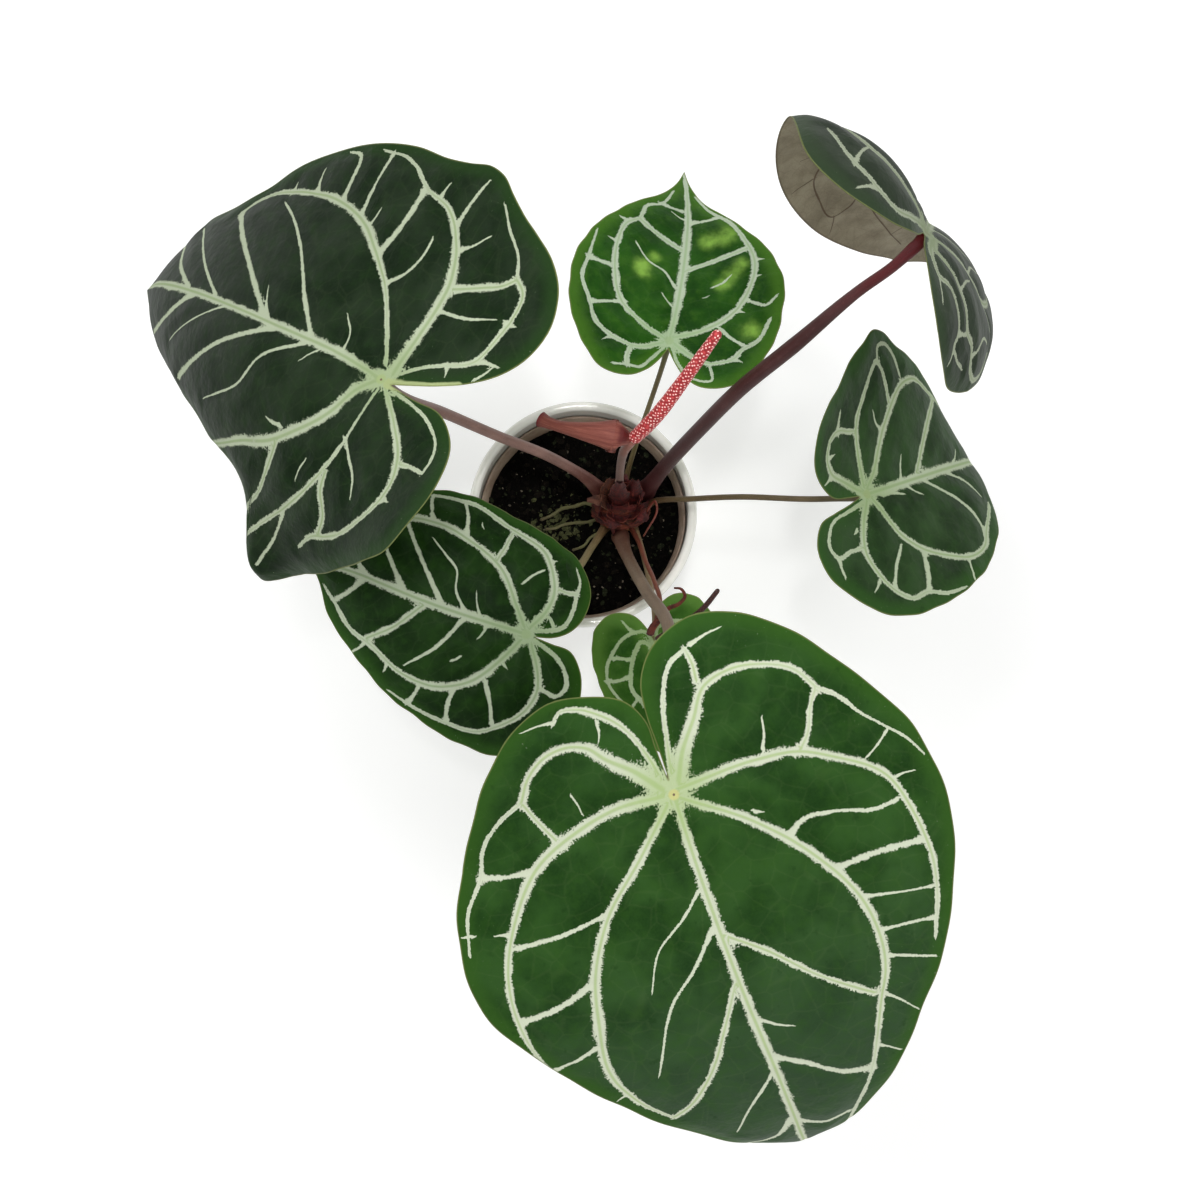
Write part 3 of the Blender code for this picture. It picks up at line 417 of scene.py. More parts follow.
# Steps of the blades' grids: along the lobes, along the midrib and out from it
COMMON_DETAIL = (46, 136, 52)
BLADE_DETAIL = {
    "leaf_front": (70, 222, 68),
    "leaf_left": (70, 222, 68),
    "leaf_hanging": (50, 150, 56),
    "leaf_small": (30, 80, 36),
}


def smooth_row(points, count):
    """count + 1 points, evenly spread over a smooth row through the given points."""
    rows = np.array(points, float)
    steps = np.diff(rows, axis=0)
    gaps = np.linalg.norm(steps, axis=1)
    leads = steps / gaps[:, None]
    before, after = gaps[:-1, None], gaps[1:, None]
    inner = (leads[:-1] * after + leads[1:] * before) / (before + after)
    slopes = np.vstack([leads[:1], inner, leads[-1:]])
    marks = np.concatenate([[0], np.cumsum(gaps)])
    place = np.linspace(0, marks[-1], count + 1)
    span = np.clip(np.searchsorted(marks, place, side="right") - 1, 0, len(gaps) - 1)
    gap = gaps[span][:, None]
    u = (place - marks[span])[:, None] / gap
    return (rows[span] * (2 * u ** 3 - 3 * u ** 2 + 1) + slopes[span] * gap * (u ** 3 - 2 * u ** 2 + u)
            + rows[span + 1] * (3 * u ** 2 - 2 * u ** 3) + slopes[span + 1] * gap * (u ** 3 - u ** 2))


def smooth_step(values, low, high):
    """0 at low, 1 at high and smooth between them."""
    u = np.clip((values - low) / (high - low), 0, 1)
    return u * u * (3 - 2 * u)


def bell(apart, width):
    return np.exp(-(apart / width) ** 2)


def units(rows):
    return rows / np.maximum(np.linalg.norm(rows, axis=-1, keepdims=True), 1e-9)


def travel(row):
    """How far along a row each of its points lies."""
    return np.concatenate([[0], np.cumsum(np.linalg.norm(np.diff(row, axis=0), axis=1))])


def spread(values, count):
    """A few values spread evenly over count places."""
    return np.interp(np.linspace(0, 1, count), np.linspace(0, 1, len(values)), values)


def outward(azimuth):
    """The level direction at an azimuth in radians."""
    return np.array((cos(azimuth), sin(azimuth), 0.0))


# Shape of a blade
def leaf_axes(leaf):
    """The directions along, across and out of the blade at its joint."""
    heading, pitch, roll = (radians(angle) for angle in leaf["pose"])
    along = np.array((cos(heading) * cos(pitch), sin(heading) * cos(pitch), sin(pitch)))
    across = np.array((sin(heading), -cos(heading), 0.0))
    out = np.cross(across, along)
    return along, across * cos(roll) - out * sin(roll), out * cos(roll) + across * sin(roll)


def leaf_points(leaf, s, q, side):
    """Points of a blade at s along its midrib and q out from it, on one side."""
    droop, power, lobe, twist, bank = leaf["bend"]
    length = leaf["length"]
    # The midrib, as a table of its turns summed up along it
    table = np.linspace(-length, 1.3 * length, 1200)
    ahead = np.clip(table / length, 0, 2)
    behind = np.clip(-table / (LOBE_REACH * length), 0, None)
    turns = np.radians(lobe * np.clip(behind, 0, 2) - droop * ahead ** power)
    step = table[1] - table[0]
    halfway = (turns[1:] + turns[:-1]) / 2
    run = np.concatenate([[0], np.cumsum(np.cos(halfway) * step)])
    rise = np.concatenate([[0], np.cumsum(np.sin(halfway) * step)])
    run = np.interp(s, table, run) - np.interp(0, table, run)
    rise = np.interp(s, table, rise) - np.interp(0, table, rise)
    lean = np.interp(s, table, turns)[..., None]
    # Each half starts at a slope beside the midrib and curls over in an arc
    ahead, behind = np.clip(s / length, 0, 2), np.clip(-s / (LOBE_REACH * length), 0, 1.6)
    roll = np.radians(twist * np.clip(ahead, 0, 1.5) + bank * np.clip(behind, 0, 1.5))[..., None]
    back, middle, front = leaf["right"] if side > 0 else leaf["left"]
    start = np.radians(middle + (front - middle) * np.clip(ahead, 0, 1.2) ** 1.5
                       + (back - middle) * behind ** 1.5)
    curl = radians(leaf["arch"][1 if side > 0 else 0]) / (0.5 * length)
    reach = ((np.sin(start + curl * q) - np.sin(start)) / curl)[..., None]
    lift = ((np.cos(start) - np.cos(start + curl * q)) / curl)[..., None]
    along, across, out = leaf_axes(leaf)
    normal = out * np.cos(lean) - along * np.sin(lean)
    sideways = across * np.cos(roll) - normal * np.sin(roll)
    upward = normal * np.cos(roll) + across * np.sin(roll)
    points = (np.array(leaf["joint"], float) + along * run[..., None] + out * rise[..., None]
              + sideways * (side * reach) + upward * lift)
    if side < 0 and "flare" in leaf:
        middle, width, low, high, push = leaf["flare"]
        share = bell(s - middle, width) * smooth_step(q, low, high)
        points += np.array(push, float) * share[..., None]
    return points


def bowed(row, order):
    """A straight vein of two points gets a slight bow, to one side and the other in turn."""
    if len(row) > 2:
        return row
    (a, b), (c, d) = row
    sag = 0.05 if order % 2 else -0.05
    return [row[0], ((a + c) / 2 + sag * (d - b), (b + d) / 2 - sag * (c - a)), row[1]]


def nearest_curve(points, curves):
    """For each flat point: the signed and plain distance to the nearest curve, the place along
    it and its half width there."""
    starts, ends, marks, halves, thins = [], [], [], [], []
    for order, (widths, row) in enumerate(curves):
        row = bowed(row, order)
        line = smooth_row(row, 8 * len(row))
        reach = travel(line)
        wide = np.interp(reach / reach[-1], np.linspace(0, 1, len(widths)), widths)
        starts.append(line[:-1])
        ends.append(line[1:])
        marks.append(reach[:-1] + 37 * order)    # so that no two veins fray alike
        halves.append(wide[:-1])
        thins.append(wide[1:])
    starts, ends = np.vstack(starts), np.vstack(ends)
    marks, halves, thins = np.concatenate(marks), np.concatenate(halves), np.concatenate(thins)
    leads = ends - starts
    sizes = np.sqrt((leads ** 2).sum(axis=1))
    found = []
    for lot in np.array_split(points, len(points) // 2000 + 1):
        apart = lot[:, None] - starts[None]
        u = np.clip((apart * leads).sum(axis=2) / sizes ** 2, 0, 1)
        gap = np.linalg.norm(apart - u[..., None] * leads, axis=2)
        wide = halves + (thins - halves) * u
        pick = (gap - wide).argmin(axis=1)
        rows = np.arange(len(lot))
        turn = leads[pick, 0] * apart[rows, pick, 1] - leads[pick, 1] * apart[rows, pick, 0]
        near, share = gap[rows, pick], u[rows, pick]
        found.append(np.column_stack([np.where(turn < 0, -near, near), near,
                                      marks[pick] + share * sizes[pick], wide[rows, pick]]))
    return np.vstack(found)


def half_grid(edge, wave, notch_rows, tip_rows, columns):
    """Rows and columns of flat points that fill one half of a blade, its edge gently waved."""
    line = smooth_row(edge, EDGE_STEPS)
    steps = np.arange(EDGE_STEPS + 1)
    line[:, 1] += wave * smooth_step(line[:, 1], 6, 25) * np.sin(steps * 0.12) * np.sin(steps * 0.037 + 1)
    line[:, 1] = np.maximum(line[:, 1], 0)
    turn = line[:, 0].argmin()
    inner, outer = line[:turn + 1][::-1], line[turn:]
    notch = edge[0][0]
    back = np.linspace(0, 1, notch_rows + 1)[:-1]
    ahead = np.linspace(0, 1, tip_rows + 1)
    back = line[turn, 0] + (notch - line[turn, 0]) * (0.4 * back + 0.6 * back ** 2)
    front = notch + (edge[-1][0] - notch) * (0.65 * ahead + 0.35 * np.sin(ahead * pi / 2))
    s = np.concatenate([back, front])
    near = np.where(s < notch, np.interp(s, inner[:, 0], inner[:, 1]), 0)
    far = np.maximum(np.interp(s, outer[:, 0], outer[:, 1]), near)
    far[-1] = 0
    near[0] = far[0]
    v = np.linspace(0, 1, columns + 1)
    return np.repeat(s[:, None], columns + 1, axis=1), near[:, None] + (far - near)[:, None] * v, line


def blade_sheet(leaf, notch_rows, tip_rows, columns):
    """Flat points, world points, faces and edges of a whole blade, its halves joined."""
    flats, worlds, faces, edges = [], [], [], []
    count = notch_rows + tip_rows + 1
    for side, key in ((1, "right_edge"), (-1, "left_edge")):
        s, q, line = half_grid(leaf[key], leaf.get("wave", 0.0), notch_rows, tip_rows, columns)
        own = sum(map(len, flats)) + np.arange(s.size).reshape(s.shape)
        edges.append(np.column_stack([line[:, 0], side * line[:, 1]]))
        flats.append(np.column_stack([s.ravel(), side * q.ravel()]))
        worlds.append(leaf_points(leaf, s.ravel(), q.ravel(), side))
        own[0, :] = own[0, 0]
        own[-1, :] = own[-1, 0]
        if side > 0:
            midrib = own[notch_rows:, 0].copy()
        own[notch_rows:, 0] = midrib
        own[-1, :] = midrib[-1]
        for i in range(count - 1):
            for j in range(columns):
                loop = [own[i, j], own[i, j + 1], own[i + 1, j + 1], own[i + 1, j]]
                loop = [v for k, v in enumerate(loop) if v != loop[k - 1]]
                if len(set(loop)) >= 3:
                    faces.append(loop[::side])
    used = sorted({v for face in faces for v in face})
    place = {v: k for k, v in enumerate(used)}
    faces = [[place[v] for v in face] for face in faces]
    return np.vstack(flats)[used], np.vstack(worlds)[used], faces, edges


def sheet_normals(points, faces):
    corners = np.array([face + face[-1:] * (4 - len(face)) for face in faces])
    a, b, c, d = (points[corners[:, k]] for k in range(4))
    across = np.cross(c - a, d - b)
    normals = np.zeros_like(points)
    for k in range(4):
        np.add.at(normals, corners[:, k], across)
    return units(normals)


# Meshes
def two_sided(faces, count):
    """The faces of a sheet, those of its copy count vertices later, and the band that joins
    their open edges."""
    seen = set()
    for face in faces:
        seen.update(zip(face, face[1:] + face[:1]))
    back = [[v + count for v in face[::-1]] for face in faces]
    band = [[b, a, a + count, b + count] for a, b in seen if (b, a) not in seen]
    return faces, back, band


def ring_faces(rings):
    """Faces between rings of vertices, where a ring of one vertex is a pole."""
    faces = []
    for low, high in zip(rings, rings[1:]):
        steps = max(len(low), len(high))
        for k in range(steps):
            n = (k + 1) % steps
            if len(low) == 1:
                faces.append([low[0], high[n], high[k]])
            elif len(high) == 1:
                faces.append([low[k], low[n], high[0]])
            else:
                faces.append([low[k], low[n], high[n], high[k]])
    return faces


def add_object(name, data):
    made = bpy.data.objects.new(name, data)
    bpy.context.scene.collection.objects.link(made)
    return made


def new_piece(name, vertices, faces, finishes, finish_of=None, smooth=True):
    """A mesh piece from points in millimetres."""
    mesh = bpy.data.meshes.new(name)
    mesh.from_pydata(np.asarray(vertices) * MM, [], faces)
    for finish in finishes:
        mesh.materials.append(finish)
    if finish_of is not None:
        mesh.polygons.foreach_set("material_index", finish_of)
    mesh.polygons.foreach_set("use_smooth", [smooth] * len(mesh.polygons))
    return add_object(name, mesh)


def give_vectors(piece, name, rows):
    layer = piece.data.attributes.new(name, "FLOAT_VECTOR", "POINT")
    layer.data.foreach_set("vector", np.asarray(rows, float).ravel())


def give_flat_map(piece, flats):
    """A UV map laid on the flat blade."""
    layer = piece.data.uv_layers.new(name="flat")
    loops = np.empty(len(piece.data.loops), int)
    piece.data.loops.foreach_get("vertex_index", loops)
    layer.data.foreach_set("uv", (flats[loops] / FLAT_SPAN + 0.5).ravel())


def settle(piece, slot, *nodes):
    """Ties a piece to the plant and hides the pieces it stands for; the slot is not used."""
    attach(piece, "root")
    if nodes:
        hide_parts(*nodes)


def make_blade(name, leaf, finishes, detail):
    """A blade with sunken veins, puckered panels and a thin margin."""
    flats, points, faces, edges = blade_sheet(leaf, *detail)
    normals = sheet_normals(points, faces)
    main = nearest_curve(flats, leaf["main"])
    side = nearest_curve(flats, leaf["side"])
    rim = nearest_curve(flats, [((1, 1), line[::12]) for line in edges])[:, 1]
    size = leaf["length"] / FULL_LENGTH
    inside = smooth_step(rim, 0, 9 * size + 3)
    pucker = MAIN_PUCKER * size * (1 - bell(main[:, 1], 8 * size + 2)) * inside
    pucker += SIDE_PUCKER * size * (1 - bell(side[:, 1], 5 * size + 1)) * inside
    wave = np.sin(flats[:, 0] * 0.11 + 1.3 * np.sin(flats[:, 1] * 0.05)) * np.cos(flats[:, 1] * 0.07)
    pucker += PANEL_WAVE * size * wave * smooth_step(rim, 30 * size, 0)
    thick = HALF_EDGE + (HALF_MIDDLE - HALF_EDGE) * smooth_step(rim, 0, 4)
    groove = MAIN_GROOVE * size * bell(main[:, 1], 1.2 * main[:, 3])
    groove += SIDE_GROOVE * size * bell(side[:, 1], 1.2 * side[:, 3])
    ridge = RIDGE * size * bell(main[:, 1], 0.6 * main[:, 3])
    lift = (pucker - BLADE_SINK * size)[:, None]
    top = points + normals * (lift + (thick - groove)[:, None])
    under = points + normals * (lift - (thick + ridge)[:, None])
    front, back, band = two_sided(faces, len(flats))
    finish_of = [0] * len(front) + [1] * len(back) + [0] * len(band)
    piece = new_piece(name, np.vstack([top, under]), front + back + band, finishes, finish_of)
    # Painted light: bright patches where the blade looks lit from behind, less a pale band for the lip fold
    # beside the notch
    glow = np.zeros(len(flats))
    for s, t, reach in leaf.get("glow", []):
        glow += np.exp(-((flats[:, 0] - s) ** 2 + (flats[:, 1] - t) ** 2) / reach ** 2)
    if "lip" in leaf:
        glow -= smooth_step(nearest_curve(flats, [((1, 1), leaf["lip"])])[:, 1], 4.0, 2.0)
    for label, rows in (("main_vein", main[:, :3]), ("side_vein", side[:, :3]),
                        ("widths", np.column_stack([main[:, 3], side[:, 3], rim])),
                        ("flat_place", np.column_stack([flats, glow]))):
        give_vectors(piece, label, np.vstack([rows, rows]))
    give_flat_map(piece, np.vstack([flats, flats]))
    return piece


def sweep(name, row, radii, sides, finish, bumps=None):
    """A round stalk along a row of points, closed and rounded at its ends."""
    row = np.asarray(row, float)
    ahead = units(np.gradient(row, axis=0))
    across = np.cross(ahead[0], (0.0, 0.0, 1.0) if abs(ahead[0][2]) < 0.9 else (1.0, 0.0, 0.0))
    angles = np.arange(sides) * tau / sides
    points, places = [], []
    reach = travel(row)
    for i, center in enumerate(row):
        across = across - ahead[i] * across.dot(ahead[i])
        across = across / np.linalg.norm(across)
        other = np.cross(ahead[i], across)
        wide = radii[i] * (1 if bumps is None else bumps(reach[i], angles))
        wide = np.broadcast_to(wide, angles.shape)[:, None]
        points.append(center + (across * np.cos(angles)[:, None] + other * np.sin(angles)[:, None]) * wide)
        here = np.full(sides, reach[i])
        places.append(np.column_stack([here, here / reach[-1], angles]))
    foot = len(row) * sides
    rings = [[foot], *(range(i * sides, (i + 1) * sides) for i in range(len(row))), [foot + 1]]
    piece = new_piece(name, np.vstack(points + [row[:1], row[-1:]]), ring_faces(rings), [finish])
    give_vectors(piece, "stalk_place", np.vstack(places + [[[0, 0, 0], [reach[-1], 1, 0]]]))
    return piece


def rounded(radii, row, cap=0.7):
    """Radii that close in at both ends of a stalk, for rounded tips."""
    reach = travel(row)
    near = np.minimum(reach, reach[-1] - reach)
    u = np.clip(near / (cap * np.maximum(radii, 0.1)), 0, 1)
    return radii * np.sqrt(np.clip(1 - (1 - u) ** 2, 0.04, 1))


def turned(name, profile, steps, finish, center=(0, 0), rough=None):
    """A closed body of revolution; rough moves its points out or in by a little."""
    vertices, rings = [], []
    for r, z in profile:
        if r < 0.01:
            rings.append([len(vertices)])
            vertices.append((*center, z))
            continue
        rings.append(range(len(vertices), len(vertices) + steps))
        for k in range(steps):
            angle = tau * k / steps
            shift = rough(angle, r, z) if rough else (0.0, 0.0)
            vertices.append((center[0] + (r + shift[0]) * cos(angle),
                             center[1] + (r + shift[0]) * sin(angle), z + shift[1]))
    return new_piece(name, vertices, ring_faces(rings), [finish])


def ribbon(name, row, widths, curls, ups, finish, thick=0.35, columns=14, ragged=0.0, seed=0):
    """A thin curved strip. Curls are the angles its section turns through; ups its faces."""
    row = np.asarray(row, float)
    count = len(row)
    size = columns + 1
    widths, curls = spread(widths, count), np.radians(spread(curls, count))
    ups = np.column_stack([spread(part, count) for part in zip(*ups)])
    ahead = units(np.gradient(row, axis=0))
    across = units(np.cross(ahead, ups))
    up = np.cross(across, ahead)
    v = np.linspace(-1, 1, size)
    jag = 1 + ragged * (np.random.default_rng(seed).random((count, 2)) - 0.5)
    half = curls[:, None] / 2 * v[None]
    radius = (widths / np.maximum(np.abs(curls), 1e-3) * np.sign(curls + 1e-9))[:, None]
    scale = np.where(v[None] > 0, jag[:, :1], jag[:, 1:])
    layers = []
    for lift in (thick / 2, -thick / 2):
        x = radius * np.sin(half) * scale + lift * np.sin(half)
        y = radius * (np.cos(half) - 1) * scale + lift * np.cos(half)
        layers.append(row[:, None] + across[:, None] * x[..., None] + up[:, None] * y[..., None])
    vertices = np.concatenate([layer.reshape(-1, 3) for layer in layers])
    faces = [[i * size + k, i * size + k + 1, (i + 1) * size + k + 1, (i + 1) * size + k]
             for i in range(count - 1) for k in range(columns)]
    piece = new_piece(name, vertices, sum(two_sided(faces, count * size), []), [finish])
    place = np.column_stack([np.repeat(travel(row), size), np.repeat(np.linspace(0, 1, count), size),
                             np.tile(v, count)])
    give_vectors(piece, "stalk_place", np.vstack([place, place]))
    return piece


def make_spike(name, row, radii, finish, spacing, sides=56):
    """A spike set with tight small flowers along golden-angle spirals."""
    row = smooth_row(row, 260)
    radii = rounded(spread(radii, len(row)), row, 1.2)
    reach = travel(row)
    chance = np.random.default_rng(5)
    flowers, along, angle = [], 0.0, 0.0
    while along < reach[-1]:
        radius = max(np.interp(along, reach, radii), 0.4)
        shift, turn = chance.uniform(-0.22, 0.22, 2) * spacing
        flowers.append((along + shift, (angle + turn / radius) % tau))
        along += spacing ** 2 / (tau * radius)
        angle += pi * (3 - sqrt(5))
    flowers = np.array(flowers)

    def nearest_flower(place, angles):
        radius = np.interp(place, reach, radii)
        near = flowers[np.abs(flowers[:, 0] - place) < 2.5 * spacing]
        turn = (angles[:, None] - near[None, :, 1] + pi) % tau - pi
        apart = np.sqrt((turn * radius) ** 2 + (near[None, :, 0] - place) ** 2)
        return apart.min(axis=1), near[apart.argmin(axis=1), 0]

    def bumps(place, angles):
        apart, _ = nearest_flower(place, angles)
        dome = np.sqrt(np.clip(1 - (apart / (0.75 * spacing)) ** 2, 0, 1))
        return 1 + 0.22 * (dome - 0.7) * min(1.0, spacing / 1.2)

    piece = sweep(name, row, radii, sides, finish, bumps)
    florets = []
    for place in reach:
        apart, flower = nearest_flower(place, np.arange(sides) * tau / sides)
        shade = (np.sin(flower * 91.7) * 43.7) % 1
        florets.append(np.column_stack([apart / spacing, shade, np.full(sides, place / reach[-1])]))
    give_vectors(piece, "floret", np.vstack(florets + [[[0.5, 0.5, 0], [0.5, 0.5, 1]]]))
    return piece


def chips(name, spots, finish, seed, flatness=0.5):
    """Many small irregular pieces: each spot is a place and a size."""
    chance = np.random.default_rng(seed)
    base = bmesh.new()
    bmesh.ops.create_icosphere(base, subdivisions=1, radius=1.0)
    shape = np.array([vertex.co[:] for vertex in base.verts])
    loops = [[vertex.index for vertex in face.verts] for face in base.faces]
    base.free()
    vertices, faces = [], []
    for x, y, z, size in spots:
        stretch = np.array([1.0, chance.uniform(0.45, 0.9), chance.uniform(0.3, 0.7) * flatness * 1.6])
        knob = shape * stretch * size * chance.uniform(0.75, 1.25, (len(shape), 1))
        turn, tilt = chance.uniform(0, tau), chance.normal(0, 0.35)
        knob = knob @ np.array([[1, 0, 0], [0, cos(tilt), sin(tilt)], [0, -sin(tilt), cos(tilt)]])
        knob = knob @ np.array([[cos(turn), sin(turn), 0], [-sin(turn), cos(turn), 0], [0, 0, 1]])
        faces += [[len(vertices) + v for v in loop] for loop in loops]
        vertices += (knob + np.array([x, y, z])).tolist()
    return new_piece(name, vertices, faces, [finish], smooth=False)


# Ways of the stalks
def stem_side(azimuth, height, radius, toward):
    """Where a round stalk starts: just clear of the crown, before it heads for a point."""
    out = outward(radians(azimuth))
    start = np.array(CROWN) + out * CROWN_RADIUS
    start[2] = height
    lean = out.dot(units(np.array(toward, float) - start))
    return start + out * (radius * sqrt(1.0 - lean * lean) + 1.5 * GAP)


def stalk_row(leaf, stalk, count):
    """The stalk's way from the crown to the underside of its blade."""
    azimuth, height, radii, route = stalk
    normal = leaf_axes(leaf)[2]
    joint = np.array(leaf["joint"], float)
    end = joint - normal * 0.5
    below = joint - normal * 7
    approach = below + (np.array(route[-1]) - below) * 0.35 - normal * 3
    start = stem_side(azimuth, height, radii[0], route[0])
    return np.vstack([smooth_row([start, *route, approach, below], count), below * 0.5 + end * 0.5, end])


# Materials
class Link:
    """A shader output that takes part in Python arithmetic."""

    def __init__(self, finish, socket):
        self.finish = finish
        self.socket = socket

    def math(self, operation, *others):
        return self.finish.node("ShaderNodeMath", [self, *others], operation=operation)

    def __add__(self, other):
        return self.math("ADD", other)

    def __radd__(self, other):
        return self.math("ADD", other)

    def __sub__(self, other):
        return self.math("SUBTRACT", other)

    def __rsub__(self, other):
        return self.finish.node("ShaderNodeMath", [other, self], operation="SUBTRACT")

    def __mul__(self, other):
        return self.math("MULTIPLY", other)

    def __rmul__(self, other):
        return self.math("MULTIPLY", other)

    def __truediv__(self, other):
        return self.math("DIVIDE", other)

    def __pow__(self, other):
        return self.math("POWER", other)

    def size(self):
        return self.math("ABSOLUTE")

    def least(self, other):
        return self.math("MINIMUM", other)

    def soft_least(self, other):
        return self.math("SMOOTH_MIN", other, 0.5)

    def most(self, other):
        return self.math("MAXIMUM", other)


class Finish:
    """A material written as expressions on shader nodes."""

    def __init__(self, name, **constants):
        self.material = bpy.data.materials.new(name)
        self.material.use_nodes = True
        self.tree = self.material.node_tree
        self.shader = self.tree.nodes["Principled BSDF"]
        for label, value in constants.items():
            self.shader.inputs[label.replace("_", " ")].default_value = value

    def feed(self, socket, value):
        if isinstance(value, Link):
            self.tree.links.new(value.socket, socket)
        elif hasattr(value, "__len__") and socket.type == "RGBA":
            socket.default_value = (*value[:3], 1.0)
        else:
            socket.default_value = value

    def node(self, kind, values=(), output=0, **settings):
        made = self.tree.nodes.new(kind)
        for label, value in settings.items():
            setattr(made, label, value)
        pairs = values.items() if isinstance(values, dict) else enumerate(values)
        for label, value in pairs:
            self.feed(made.inputs[label], value)
        return Link(self, made.outputs[output])

    def place(self):
        return self.node("ShaderNodeTexCoord", output="Object")

    def parts(self, label):
        """The three numbers of one of the piece's attributes."""
        vector = self.node("ShaderNodeAttribute", output="Vector", attribute_name=label)
        return [self.node("ShaderNodeSeparateXYZ", [vector], output=axis) for axis in range(3)]

    def vector(self, x, y, z=0.0):
        return self.node("ShaderNodeCombineXYZ", [x, y, z])

    def noise(self, vector, scale, detail=2.0, roughness=0.5):
        return self.node("ShaderNodeTexNoise", {"Vector": vector, "Scale": scale, "Detail": detail,
                                                "Roughness": roughness})

    def cells(self, vector, scale, feature="F1"):
        return self.node("ShaderNodeTexVoronoi", {"Vector": vector, "Scale": scale},
                         output="Distance", feature=feature)

    def smooth(self, value, low, high):
        """0 below low and 1 above high, or the other way round when high is the smaller."""
        ends = (low, high, 0.0, 1.0) if low < high else (high, low, 1.0, 0.0)
        values = dict(zip(("Value", "From Min", "From Max", "To Min", "To Max"), (value, *ends)))
        return self.node("ShaderNodeMapRange", values, interpolation_type="SMOOTHSTEP")

    def mix(self, mask, low, high):
        return self.node("ShaderNodeMix", {0: mask, 6: low, 7: high}, output=2, data_type="RGBA")

    def tint(self, color, shade, value, low, high, share=1.0):
        """Lays a share of a shade over a colour where a value runs from low to high."""
        mask = self.smooth(value, low, high)
        return self.mix(mask if share == 1.0 else mask * share, color, shade)

    def done(self, height=None, strength=0.0, depth=0.0, **sockets):
        """The material, with its sockets fed and, for a height, its bumps."""
        if height is not None:
            sockets["Normal"] = self.node("ShaderNodeBump", {"Height": height, "Strength": strength,
                                                             "Distance": depth})
        for label, value in sockets.items():
            self.feed(self.shader.inputs[label.replace("_", " ")], value)
        return self.material


def linear(*shades):
    """Display colours from 0 to 255 as the shader wants them."""
    return [tuple(c / 255 / 12.92 if c < 10.31 else ((c / 255 + 0.055) / 1.055) ** 2.4 for c in shade)
            for shade in shades]


# Display colours of each kind of blade, in the order in which blade_finish takes them
TONES = {
    "front": dict(panel=(46, 82, 32), deep=(22, 54, 14), margin=(48, 86, 26), tip=(54, 76, 52),
                  vein=(212, 218, 196), line=(166, 190, 124), knob=(200, 200, 134)),
    "dusk": dict(panel=(32, 46, 28), deep=(10, 28, 8), margin=(32, 58, 22), tip=(46, 52, 45),
                 vein=(178, 188, 162), line=(136, 156, 108), knob=(150, 166, 116)),
    "deep": dict(panel=(28, 54, 18), deep=(10, 32, 6), margin=(42, 78, 22), tip=(34, 54, 30),
                 vein=(190, 200, 176), line=(138, 162, 116), knob=(152, 172, 130)),
    "slate": dict(panel=(48, 72, 40), deep=(26, 46, 21), margin=(46, 80, 32), tip=(52, 70, 48),
                  vein=(182, 194, 166), line=(140, 164, 112), knob=(150, 168, 118)),
    "ash": dict(panel=(52, 62, 48), deep=(34, 44, 32), margin=(50, 66, 44), tip=(52, 62, 50),
                vein=(164, 172, 150), line=(134, 148, 114), knob=(136, 144, 114)),
    "fresh": dict(panel=(36, 80, 18), deep=(16, 54, 6), margin=(66, 108, 30), tip=(40, 74, 26),
                  vein=(182, 195, 172), line=(148, 174, 130), knob=(152, 174, 132)),
    "young": dict(panel=(58, 98, 34), deep=(30, 68, 14), margin=(88, 128, 52), tip=(64, 100, 44),
                  vein=(180, 196, 160), line=(134, 160, 104), knob=(152, 174, 132)),
}


def vein_ratio(finish, label, half, seed, fray):
    """Distance from the nearest vein over its half width there, its edge frayed by noise."""
    signed, plain, along = finish.parts(label)
    reach = signed.size().most(plain - 0.9)
    s, t, _ = finish.parts("flat_place")
    teeth = finish.noise(finish.vector(s, t, seed), 1.3, 3.0, 0.7)
    fringe = finish.noise(finish.vector(along * 1.1 + seed, signed * 0.4), 1.0, 3.0, 0.7)
    swell = finish.noise(finish.vector(s, t, seed + 9.0), 0.16, 2.0)
    edge = half * ((teeth - 0.5) * fray + (fringe - 0.5) * 0.8 * fray + (swell - 0.5) * 1.2 + 1.05)
    return reach / edge.most(0.05), reach


